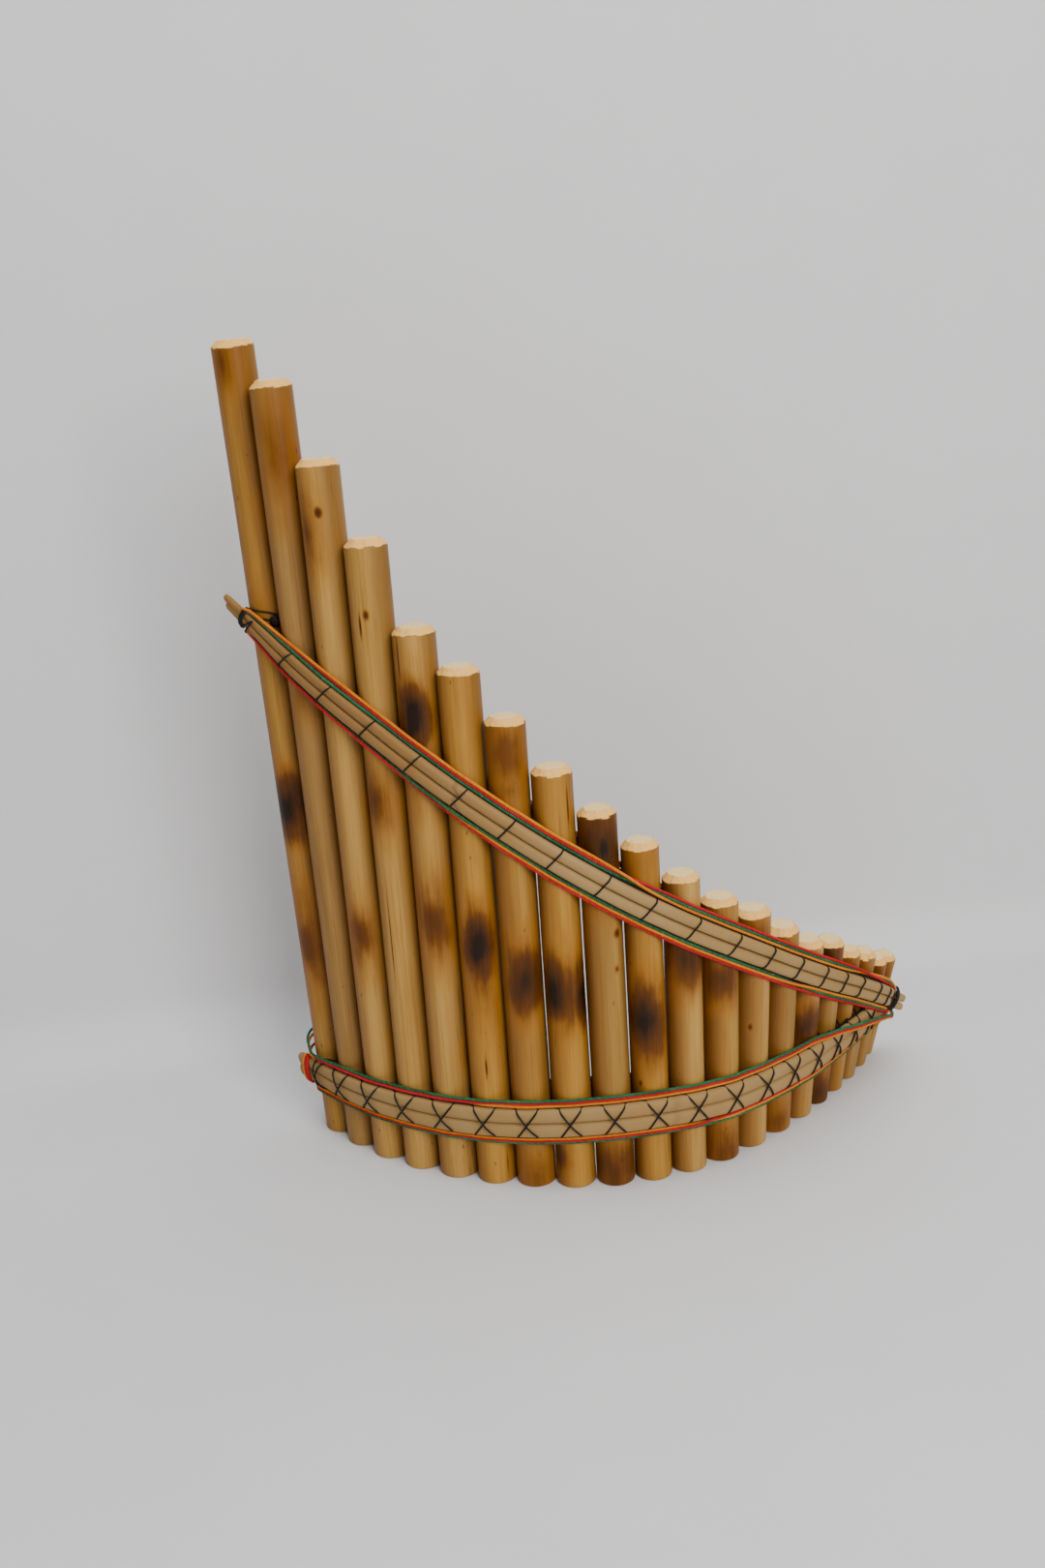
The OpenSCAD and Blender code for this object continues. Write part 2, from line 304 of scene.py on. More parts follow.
def makeFibreGroup():
    # lengthwise cane fibres: point in millimetres, third coordinate along the cane
    tree, given, result = newGroup("caneFibre", "ShaderNodeTree", (
        ("Point", "vector", None), ("Seed", "float", 0.0), ("Width", "float", 1.0)),
        (("Broad", "float"), ("Streak", "float"), ("Fine", "float"), ("Speck", "float"),
         ("Crack", "float"), ("Height", "float")))
    shift = scaled(tree, (13.7, 5.3, 31.1), given["Seed"])
    point = vectorCalc(tree, "ADD", given["Point"], shift)

    def stretched(across, along):
        return vectorCalc(tree, "MULTIPLY", point, (across, across, along))

    broad = noise(tree, stretched(0.11, 0.013), 3, 0.55)
    feed(tree, mapped(tree, broad, 0.32, 0.68), result["Broad"])
    streak = noise(tree, scaled(tree, stretched(0.85, 0.02), given["Width"]), 4, 0.62)
    feed(tree, mapped(tree, streak, 0.3, 0.7), result["Streak"])
    fine = noise(tree, scaled(tree, stretched(3.2, 0.06), given["Width"]), 3, 0.6)
    feed(tree, mapped(tree, fine, 0.25, 0.75), result["Fine"])
    dots = add(tree, "ShaderNodeTexVoronoi", {"Vector": stretched(0.32, 0.13), "Scale": 1.0})
    pick = add(tree, "ShaderNodeSeparateColor", {"Color": dots.outputs["Color"]})
    size = mapped(tree, pick.outputs[0], 0.72, 1.0, 0.0, 0.17)
    speck = mapped(tree, calc(tree, "SUBTRACT", size, dots.outputs["Distance"]), 0.0, 0.05)
    feed(tree, speck, result["Speck"])
    thread = noise(tree, stretched(0.42, 0.008), 2, 0.4)
    hair = mapped(tree, calc(tree, "ABSOLUTE", calc(tree, "SUBTRACT", thread, 0.5)), 0.0, 0.006, 1.0, 0.0)
    where = mapped(tree, noise(tree, stretched(0.07, 0.02), 1, 0.5), 0.57, 0.64)
    crack = calc(tree, "MULTIPLY", hair, where)
    feed(tree, crack, result["Crack"])
    height = calc(tree, "MULTIPLY_ADD", fine, 0.5, calc(tree, "MULTIPLY", streak, 0.7))
    feed(tree, calc(tree, "SUBTRACT", height, calc(tree, "MULTIPLY", crack, 0.8)), result["Height"])
    return tree


def makeScorchGroup():
    # one flame mark: its height and turn on the cane, and how far it spreads
    tree, given, result = newGroup("scorchMark", "ShaderNodeTree", (
        ("Point", "vector", None), ("Height", "float", 100.0), ("Reach", "float", 15.0),
        ("Turn", "float", 0.0), ("Spread", "float", 60.0), ("Depth", "float", 1.0), ("Seed", "float", 0.0)),
        (("Mask", "float"),))
    parts = add(tree, "ShaderNodeSeparateXYZ", {"Vector": given["Point"]}).outputs
    angle = calc(tree, "ARCTAN2", parts["Y"], parts["X"])
    gap = calc(tree, "SUBTRACT", angle, calc(tree, "RADIANS", given["Turn"]))
    gap = calc(tree, "ARCCOSINE", calc(tree, "MULTIPLY", calc(tree, "COSINE", gap), 0.9999))
    sideways = calc(tree, "DIVIDE", calc(tree, "DEGREES", gap), given["Spread"])
    upwards = calc(tree, "DIVIDE", calc(tree, "SUBTRACT", parts["Z"], given["Height"]), given["Reach"])
    shift = scaled(tree, (7.9, 3.1, 17.3), given["Seed"])
    point = vectorCalc(tree, "ADD", given["Point"], shift)
    ragged = noise(tree, vectorCalc(tree, "MULTIPLY", point, (0.55, 0.55, 0.03)), 4, 0.6)
    cloudy = noise(tree, vectorCalc(tree, "MULTIPLY", point, (0.13, 0.13, 0.06)), 3, 0.5)
    length = calc(tree, "SQRT", calc(tree, "ADD", calc(tree, "MULTIPLY", sideways, sideways),
                                     calc(tree, "MULTIPLY", upwards, upwards)))
    length = calc(tree, "MULTIPLY_ADD", calc(tree, "SUBTRACT", ragged, 0.5), 0.75, length)
    length = calc(tree, "MULTIPLY_ADD", calc(tree, "SUBTRACT", cloudy, 0.5), 1.2, length)
    mask = calc(tree, "POWER", mapped(tree, length, 2.0, 0.1), 1.25)
    feed(tree, calc(tree, "MULTIPLY", mask, given["Depth"]), result["Mask"])
    return tree


def makeYarnGroup():
    # fibres of a laid cord: point is round the cord and along it
    tree, given, result = newGroup("yarnFibre", "ShaderNodeTree", (
        ("Point", "vector", None), ("Valley", "float", 0.0), ("Seed", "float", 0.0)),
        (("Tone", "float"), ("Fleck", "float"), ("Height", "float")))
    point = vectorCalc(tree, "ADD", given["Point"], scaled(tree, (3.1, 7.7, 11.9), given["Seed"]))
    fuzz = noise(tree, vectorCalc(tree, "MULTIPLY", point, (3.0, 3.0, 2.2)), 3, 0.6)
    worn = noise(tree, vectorCalc(tree, "MULTIPLY", point, (0.2, 0.2, 0.06)), 3, 0.55)
    tone = calc(tree, "MULTIPLY_ADD", mapped(tree, fuzz, 0.3, 0.7), 0.45,
                mapped(tree, worn, 0.3, 0.7, 0, 0.55))
    # the valleys between the plies are darkened: painted shade
    feed(tree, calc(tree, "SUBTRACT", tone, calc(tree, "MULTIPLY", given["Valley"], 0.35), clamp=True),
         result["Tone"])
    fleck = noise(tree, vectorCalc(tree, "MULTIPLY", point, (1.7, 1.7, 1.3)), 2, 0.7)
    feed(tree, mapped(tree, fleck, 0.66, 0.74), result["Fleck"])
    feed(tree, calc(tree, "SUBTRACT", fuzz, given["Valley"]), result["Height"])
    return tree


caneFibre = makeFibreGroup()
scorchMark = makeScorchGroup()
yarnFibre = makeYarnGroup()


def newMaterial(name):
    material = bpy.data.materials.new(name)
    material.use_nodes = True
    shader = material.node_tree.nodes["Principled BSDF"]
    return material, material.node_tree, shader


def attribute(tree, name):
    return add(tree, "ShaderNodeAttribute", attribute_name=name).outputs


def place(tree, group, **inputs):
    node = add(tree, "ShaderNodeGroup", node_tree=group)
    for name, value in inputs.items():
        feed(tree, value, node.inputs[name])
    return node.outputs


def bump(tree, height, strength, distance, shader):
    node = add(tree, "ShaderNodeBump", {"Height": height, "Strength": strength, "Distance": distance})
    tree.links.new(node.outputs["Normal"], shader.inputs["Normal"])


# ---- the canes

caneLook = {
    "sides": 56,
    "knifeStrokes": 15,  # cuts round the closed end
    "knifeSlip": 0.42,
    "waver": 0.16,
    "roughness": 0.44,
    # browner side of a cane: partly toasted skin, partly painted shade
    "brownTint": (0.185, 0.058, 0.005, 1),
    # painted shade between neighbouring canes
    "contactShade": (0.115, 0.038, 0.004, 1),
    "contactShadeShare": 0.62,  # how much of it shows where two canes face each other
    "amber": (0.34, 0.115, 0.003, 1),
    "scorch": (0.105, 0.031, 0.0006, 1),
    "char": (0.014, 0.005, 0.0005, 1),
    "faceWood": (1.00, 0.83, 0.46, 1),
    "faceRing": (0.78, 0.47, 0.14, 1),
    "cutWood": (1.00, 0.62, 0.20, 1),
    "cutEdge": (0.80, 0.38, 0.065, 1),
}

# the light and the dark of each kind of cane's skin
caneTones = {
    "honey": ((0.459, 0.241, 0.043, 1), (0.222, 0.091, 0.009, 1)),
    "straw": ((0.548, 0.321, 0.079, 1), (0.303, 0.139, 0.020, 1)),
    "golden": ((0.518, 0.270, 0.042, 1), (0.274, 0.110, 0.009, 1)),
    "greyTan": ((0.385, 0.219, 0.059, 1), (0.200, 0.095, 0.019, 1)),
    "pinkTan": ((0.400, 0.226, 0.050, 1), (0.229, 0.104, 0.017, 1)),
}

# a mark: height, reach, turn, spread, depth
caneMarks = (
    ("honey", ((337, 12, 25, 40, 0.5), (156, 13, 20, 80, 1.0), (94, 22, 30, 80, 0.5), (240, 14, 0, 70, 0.3))),
    ("greyTan", ((303, 22, 48, 60, 0.45), (206, 10, 20, 60, 0.3))),
    ("straw", ((272, 15, -5, 40, 0.5), (105, 15, 15, 55, 0.5), (280, 2, 35, 9, 0.8))),
    ("straw", ((166, 14, -5, 50, 0.55), (107, 17, 1, 2, 0.8), (237, 4, 3, 3, 0.8), (241, 1.5, 22, 6, 0.7))),
    ("straw", ((201, 13, 10, 48, 1.0), (190, 26, 5, 60, 0.4), (117, 17, 12, 60, 0.55),
               (224, 10, -22, 3, 0.8))),
    ("golden", ((108, 14, 18, 48, 1.0), (96, 22, 18, 60, 0.4), (54, 4, 12, 3, 0.7), (9, 6, 52, 3, 0.6))),
    ("honey", ((188, 17, 5, 100, 0.45), (173, 10, 10, 50, 0.45), (94, 15, 22, 62, 0.85),
               (4, 12, 10, 80, 0.4))),
    ("golden", ((89, 13, -32, 40, 1.0), (87, 13, 66, 40, 1.0), (88, 16, 10, 60, 0.6), (166, 8, 48, 3, 0.7),
                (14, 9, -45, 40, 0.6))),
    ("pinkTan", ((150, 21, 10, 140, 0.72), (148, 9, 12, 35, 0.95), (8, 14, 0, 120, 0.62),
                 (12, 4, 16, 25, 0.5),
                 (112, 1.6, 40, 9, 0.7), (97, 1.6, 33, 8, 0.6))),
    ("golden", ((72, 16, -18, 62, 0.95), (140, 14, -20, 90, 0.3), (45, 1.5, -46, 6, 0.8))),
    ("straw", ((98, 14, -20, 90, 0.78),)),
    ("honey", ((86, 12, -35, 80, 0.62), (5, 16, -30, 90, 0.5), (9, 5, -16, 3, 0.7))),
    ("straw", ((100, 11, -32, 80, 0.4), (58, 1.6, -46, 7, 0.8))),
    ("pinkTan", ((6, 12, -38, 80, 0.45), (88, 8, -45, 70, 0.3))),
    ("straw", ((45, 11, -46, 80, 0.8),)),
    ("pinkTan", ((76, 9, -62, 90, 0.72), (6, 13, -40, 90, 0.7))),
    ("honey", ((62, 10, -60, 90, 0.45),)),
    ("greyTan", ((52, 12, -60, 90, 0.5),)),
    ("pinkTan", ((50, 10, -70, 90, 0.5),)),
    ("honey", ((44, 10, -70, 90, 0.4),)),
)


def makeCaneTree():
    tree, given, result = newGroup("caneBody", "GeometryNodeTree", (
        ("Length", "float", 0.3), ("Radius", "float", 0.008), ("Bore Radius", "float", 0.007),
        ("Air Column", "float", 0.29), ("Cut Depth", "float", 0.0027), ("Rim", "float", 0.0005),
        ("Shrink", "float", 0.02), ("Knife Strokes", "int", 15), ("Knife Slip", "float", 0.0004),
        ("Waver", "float", 0.0001), ("Sides", "int", 56), ("Seed", "int", 1),
        ("Foot", "vector", None), ("Out", "vector", None), ("Along", "vector", None),
        ("Axis", "vector", None),
        ("Skin", "material", None)), (("Geometry", "geometry"),))
    grid = add(tree, "GeometryNodeMeshGrid", {"Size X": 1.0, "Size Y": 1.0, "Vertices Y": 101,
                                             "Vertices X": calc(tree, "ADD", given["Sides"], 1.0)})
    spot = add(tree, "ShaderNodeSeparateXYZ", {"Vector": add(tree, "GeometryNodeInputPosition").outputs[0]})
    turn = calc(tree, "MULTIPLY_ADD", spot.outputs["X"], math.tau, math.tau)
    walk = calc(tree, "ADD", spot.outputs["Y"], 0.5)  # from the bore's end, over the mouth, to the closed end
    boreEnd = mapped(tree, walk, 0.0, 0.04)
    boreWall = mapped(tree, walk, 0.04, 0.10)
    mouth = mapped(tree, walk, 0.10, 0.12)
    rim = mapped(tree, walk, 0.12, 0.16)
    skin = mapped(tree, walk, 0.16, 0.56)
    cut = mapped(tree, walk, 0.56, 0.80)
    face = mapped(tree, walk, 0.80, 1.0)
    cutZone = calc(tree, "MULTIPLY", given["Cut Depth"], 1.5)
    rimTurn = calc(tree, "MULTIPLY", rim, math.pi / 2)
    rimUp = calc(tree, "MULTIPLY", given["Rim"], calc(tree, "SUBTRACT", 1.0, calc(tree, "COSINE", rimTurn)))
    rimOut = calc(tree, "MULTIPLY", given["Rim"], calc(tree, "SINE", rimTurn))
    wallLength = calc(tree, "SUBTRACT", calc(tree, "SUBTRACT", given["Length"], cutZone), given["Rim"])
    height = calc(tree, "MULTIPLY", given["Air Column"], calc(tree, "SUBTRACT", 1.0, boreWall))
    height = calc(tree, "ADD", height, rimUp)
    height = calc(tree, "MULTIPLY_ADD", skin, wallLength, height)
    height = calc(tree, "MULTIPLY_ADD", cut, cutZone, height)
    mouthWidth = calc(tree, "SUBTRACT", calc(tree, "SUBTRACT", given["Radius"], given["Rim"]),
                      given["Bore Radius"])
    radius = calc(tree, "MULTIPLY", given["Bore Radius"], boreEnd)
    radius = calc(tree, "MULTIPLY_ADD", mouth, mouthWidth, radius)
    radius = calc(tree, "ADD", radius, rimOut)
    taper = calc(tree, "MULTIPLY", calc(tree, "DIVIDE", height, given["Length"]), given["Shrink"])
    taper = calc(tree, "MULTIPLY", calc(tree, "MULTIPLY", taper, given["Radius"]), rim)
    radius = calc(tree, "SUBTRACT", radius, taper)
    # canes are never quite round or straight
    ring = add(tree, "ShaderNodeCombineXYZ", {"X": calc(tree, "COSINE", turn), "Y": calc(tree, "SINE", turn),
                                             "Z": calc(tree, "MULTIPLY_ADD", height, 14.0, given["Seed"])})
    uneven = noise(tree, scaled(tree, ring.outputs[0], 0.9), 2, 0.5)
    uneven = calc(tree, "MULTIPLY", calc(tree, "SUBTRACT", uneven, 0.5),
                  calc(tree, "MULTIPLY", given["Waver"], 2.0))
    radius = calc(tree, "MULTIPLY_ADD", uneven, rim, radius)
    # flat knife cuts round the closed end
    stroke = calc(tree, "DIVIDE", math.tau, given["Knife Strokes"])
    number = calc(tree, "FLOOR", calc(tree, "ADD", calc(tree, "DIVIDE", turn, stroke), 0.5))
    offCentre = calc(tree, "SUBTRACT", turn, calc(tree, "MULTIPLY", number, stroke))
    number = calc(tree, "MODULO", number, given["Knife Strokes"])
    slip = add(tree, "FunctionNodeRandomValue", data_type="FLOAT")
    feed(tree, calc(tree, "MULTIPLY", given["Knife Slip"], -1.0), slip.inputs[2])
    feed(tree, given["Knife Slip"], slip.inputs[3])
    feed(tree, number, slip.inputs["ID"])
    feed(tree, given["Seed"], slip.inputs["Seed"])
    topRadius = calc(tree, "MULTIPLY", given["Radius"], calc(tree, "SUBTRACT", 1.0, given["Shrink"]))
    topRadius = calc(tree, "SUBTRACT", topRadius, given["Cut Depth"])
    knife = calc(tree, "ADD", topRadius, slip.outputs[1])
    knife = calc(tree, "ADD", knife, calc(tree, "SUBTRACT", given["Length"], height))
    knife = calc(tree, "DIVIDE", knife, calc(tree, "COSINE", offCentre))
    bare = mapped(tree, calc(tree, "SUBTRACT", radius, knife), 0.0, 0.0001)
    radius = calc(tree, "SMOOTH_MIN", radius, knife, 0.00035)
    radius = calc(tree, "MULTIPLY", radius, calc(tree, "SUBTRACT", 1.0, face))
    x = calc(tree, "MULTIPLY", radius, calc(tree, "COSINE", turn))
    y = calc(tree, "MULTIPLY", radius, calc(tree, "SINE", turn))
    # the sawn face is a little uneven and not quite square
    level = add(tree, "ShaderNodeCombineXYZ", {"X": x, "Y": y, "Z": given["Seed"]})
    relief = calc(tree, "SUBTRACT", noise(tree, level.outputs[0], 3, 0.6, 420.0), 0.5)
    relief = calc(tree, "MULTIPLY", relief, calc(tree, "MULTIPLY", mapped(tree, face, 0.0, 0.2), 0.0004))
    tilt = add(tree, "FunctionNodeRandomValue", data_type="FLOAT")
    feed(tree, -0.035, tilt.inputs[2])
    feed(tree, 0.035, tilt.inputs[3])
    feed(tree, calc(tree, "ADD", given["Seed"], 40.0), tilt.inputs["Seed"])
    slope = calc(tree, "MULTIPLY", calc(tree, "MULTIPLY", calc(tree, "SUBTRACT", x, y), tilt.outputs[1]), cut)
    z = calc(tree, "ADD", calc(tree, "ADD", height, relief), slope)
    local = add(tree, "ShaderNodeCombineXYZ", {"X": x, "Y": y, "Z": z}).outputs[0]
    point = vectorCalc(tree, "ADD", given["Foot"], scaled(tree, given["Out"], x))
    point = vectorCalc(tree, "ADD", point, scaled(tree, given["Along"], y))
    point = vectorCalc(tree, "ADD", point, scaled(tree, given["Axis"], z))
    shape = grid.outputs["Mesh"]
    for name, kind, value in (
            ("canePoint", "FLOAT_VECTOR", scaled(tree, local, 1000.0)),
            ("caneBare", "FLOAT", bare),
            ("caneFace", "FLOAT", face),
            ("caneInside", "FLOAT", calc(tree, "SUBTRACT", 1.0, rim))):
        keep = add(tree, "GeometryNodeStoreNamedAttribute", {"Geometry": shape, "Name": name, "Value": value},
                   data_type=kind, domain="POINT")
        shape = keep.outputs[0]
    moved = add(tree, "GeometryNodeSetPosition", {"Geometry": shape, "Position": point})
    whole = add(tree, "GeometryNodeMergeByDistance", {"Geometry": moved.outputs[0], "Distance": 1e-6})
    corner = calc(tree, "GREATER_THAN", add(tree, "GeometryNodeInputMeshEdgeAngle").outputs[0], 0.5)
    smooth = add(tree, "GeometryNodeSetShadeSmooth", {"Geometry": whole.outputs[0], "Shade Smooth": True})
    crisp = add(tree, "GeometryNodeSetShadeSmooth", {"Geometry": smooth.outputs[0], "Selection": corner,
                                                    "Shade Smooth": False}, domain="EDGE")
    real = add(tree, "GeometryNodeRealizeInstances", {"Geometry": crisp.outputs[0]})
    painted = add(tree, "GeometryNodeSetMaterial", {"Geometry": real.outputs[0], "Material": given["Skin"]})
    feed(tree, painted.outputs[0], result["Geometry"])
    return tree


def makeCaneSkin(i):
    tone, marks = caneMarks[i]
    light, dark = caneTones[tone]
    dice = random.Random(40 + i)
    material, tree, shader = newMaterial("caneSkin%02d" % (i + 1))
    point = attribute(tree, "canePoint")["Vector"]
    fibre = place(tree, caneFibre, Point=point, Seed=float(i + 1))
    lightness = calc(tree, "MULTIPLY_ADD", fibre["Streak"], 0.45, calc(tree, "MULTIPLY", fibre["Broad"], 0.4))
    lightness = calc(tree, "MULTIPLY_ADD", fibre["Fine"], 0.25, lightness, clamp=True)
    colour = blend(tree, lightness, dark, light)
    # browner left side of each cane, away from the key light: partly toasted skin, partly painted shade
    parts = add(tree, "ShaderNodeSeparateXYZ", {"Vector": point}).outputs
    side = calc(tree, "SUBTRACT", calc(tree, "ARCTAN2", parts["Y"], parts["X"]),
                math.radians(-52 + dice.uniform(-12, 12) - 2.5 * i))
    brownTint = mapped(tree, calc(tree, "COSINE", side), 0.1, 1.0, 0.0, 0.85, smooth=True)
    brownTint = calc(tree, "MULTIPLY", brownTint, mapped(tree, fibre["Broad"], 0.0, 1.0, 0.6, 1.0))
    colour = blend(tree, brownTint, colour, caneLook["brownTint"])
    # painted shade where the canes face each other
    contactShade = calc(tree, "ABSOLUTE", calc(tree, "SINE", calc(tree, "ARCTAN2", parts["Y"], parts["X"])))
    contactShade = mapped(tree, contactShade, 0.5, 1.0, 0.0, caneLook["contactShadeShare"], smooth=True)
    colour = blend(tree, contactShade, colour, caneLook["contactShade"])
    # flame marks, and a few more on the side away from the players
    spots = list(marks)
    length = canes[i]["length"]
    for n in range(1 + int(length / 130)):
        spots.append((dice.uniform(0.15, 0.9) * length, dice.uniform(9, 17), 180 + dice.uniform(-50, 30),
                      dice.uniform(35, 60), dice.uniform(0.4, 0.95)))
    burn = 0.0
    for n, (height, reach, turn, spread, depth) in enumerate(spots):
        mark = place(tree, scorchMark, Point=point, Height=float(height), Reach=float(reach),
                     Turn=float(turn),
                     Spread=float(spread), Depth=float(depth), Seed=float(i * 7 + n))
        burn = calc(tree, "MAXIMUM", mark["Mask"], burn)
    ramp = add(tree, "ShaderNodeValToRGB", {"Fac": burn})
    stops = ramp.color_ramp.elements
    stops[0].position, stops[0].color = 0.08, caneLook["amber"]
    stops[1].position, stops[1].color = 0.9, caneLook["char"]
    middle = stops.new(0.5)
    middle.color = caneLook["scorch"]
    colour = blend(tree, mapped(tree, burn, 0.0, 0.42), colour, ramp.outputs["Color"])
    dirt = calc(tree, "MAXIMUM", calc(tree, "MULTIPLY", fibre["Speck"], 0.75), fibre["Crack"])
    colour = blend(tree, calc(tree, "MULTIPLY", dirt, 0.8), colour, (0.045, 0.020, 0.010, 1))
    # knife-cut chamfer and sawn face
    ringed = add(tree, "ShaderNodeTexWave",
                 {"Vector": point, "Scale": 0.35, "Distortion": 3.0, "Detail": 2.0},
                 wave_type="RINGS", rings_direction="Z")
    radial = noise(tree, vectorCalc(tree, "MULTIPLY", point, (0.9, 0.9, 0.9)), 4, 0.65)
    faceTone = calc(tree, "MULTIPLY_ADD", ringed.outputs["Fac"], 0.25, calc(tree, "MULTIPLY", radial, 0.8))
    faceColour = blend(tree, faceTone, caneLook["faceWood"], caneLook["faceRing"])
    bare = attribute(tree, "caneBare")["Fac"]
    face = mapped(tree, attribute(tree, "caneFace")["Fac"], 0.0, 0.06)
    edgeColour = blend(tree, fibre["Fine"], caneLook["cutEdge"], caneLook["cutWood"])
    # a thin dark line where the knife left the skin
    line = calc(tree, "MULTIPLY", mapped(tree, bare, 0.0, 0.35), mapped(tree, bare, 0.95, 0.4))
    colour = blend(tree, bare, colour, edgeColour)
    colour = blend(tree, calc(tree, "MULTIPLY", line, 0.75), colour, (0.10, 0.040, 0.012, 1))
    colour = blend(tree, face, colour, faceColour)
    inside = attribute(tree, "caneInside")["Fac"]
    colour = blend(tree, mapped(tree, inside, 0.3, 0.9), colour, (0.33, 0.19, 0.085, 1))
    feed(tree, colour, shader.inputs["Base Color"])
    cutWood = calc(tree, "MAXIMUM", calc(tree, "MAXIMUM", bare, face), inside)
    rough = calc(tree, "MULTIPLY_ADD", fibre["Streak"], -0.1, caneLook["roughness"] + 0.06)
    rough = calc(tree, "MULTIPLY_ADD", cutWood, 0.3, rough)
    feed(tree, calc(tree, "MULTIPLY_ADD", burn, 0.08, rough), shader.inputs["Roughness"])
    relief = calc(tree, "MULTIPLY_ADD", calc(tree, "MULTIPLY", radial, cutWood), 2.0, fibre["Height"])
    bump(tree, relief, 0.35, 0.0002, shader)
    shader.inputs["Specular IOR Level"].default_value = 0.2
    return material


caneTree = makeCaneTree()
for i, cane in enumerate(canes):
    name = "cane%02d" % (i + 1)
    shape = runTree(name, caneTree, bpy.data.meshes.new(name + "Start"), {
        "Length": cane["length"] * mm,
        "Radius": cane["radius"] * mm,
        "Bore Radius": boreRadius(i) * mm,
        "Air Column": cane["air"] * mm,
        "Cut Depth": row["cutShare"] * cane["width"] * mm,
        "Rim": row["rim"] * mm,
        "Shrink": row["shrink"],
        "Knife Strokes": caneLook["knifeStrokes"],
        "Knife Slip": caneLook["knifeSlip"] * mm,
        "Waver": caneLook["waver"] * mm,
        "Sides": caneLook["sides"],
        "Seed": i + 1,
        "Foot": cane["foot"] * mm,
        "Out": cane["out"],
        "Along": cane["along"],
        "Axis": cane["axis"],
        "Skin": makeCaneSkin(i),
    })
    showPiece(name, shape, "cane", "pipe_%02d" % (i + 1))
print("canes made:", caneCount)


# ---- paths that strips, cords and threads follow

def pathMesh(name, paths, outs=None, sizes=None):
    points = []
    edges = []
    for path in paths:
        start = len(points)
        points += [tuple(p) for p in path]
        edges += [(start + k, start + k + 1) for k in range(len(path) - 1)]
    mesh = bpy.data.meshes.new(name)
    mesh.from_pydata(points, edges, [])
    if outs:
        facing = mesh.attributes.new("facing", "FLOAT_VECTOR", "POINT")
        for k, out in enumerate(out for path in outs for out in path):
            facing.data[k].vector = out
    if sizes:
        size = mesh.attributes.new("size", "FLOAT", "POINT")
        for k, value in enumerate(value for path in sizes for value in path):
            size.data[k].value = value
    return mesh


# ---- split-cane strips

stripLook = {
    "sides": 18,
    "step": 1.5,
    "upperLight": (1.00, 0.820, 0.400, 1),
    "upperDark": (0.74, 0.500, 0.150, 1),
    "lowerLight": (1.00, 0.800, 0.380, 1),
    "lowerDark": (0.78, 0.520, 0.160, 1),
    "brownTint": (0.37, 0.180, 0.026, 1),
    "roughness": 0.42,
    "upperStubs": (18, 13),  # past the longest cane and past the shortest
    "lowerStubs": (14.5, 2),
}


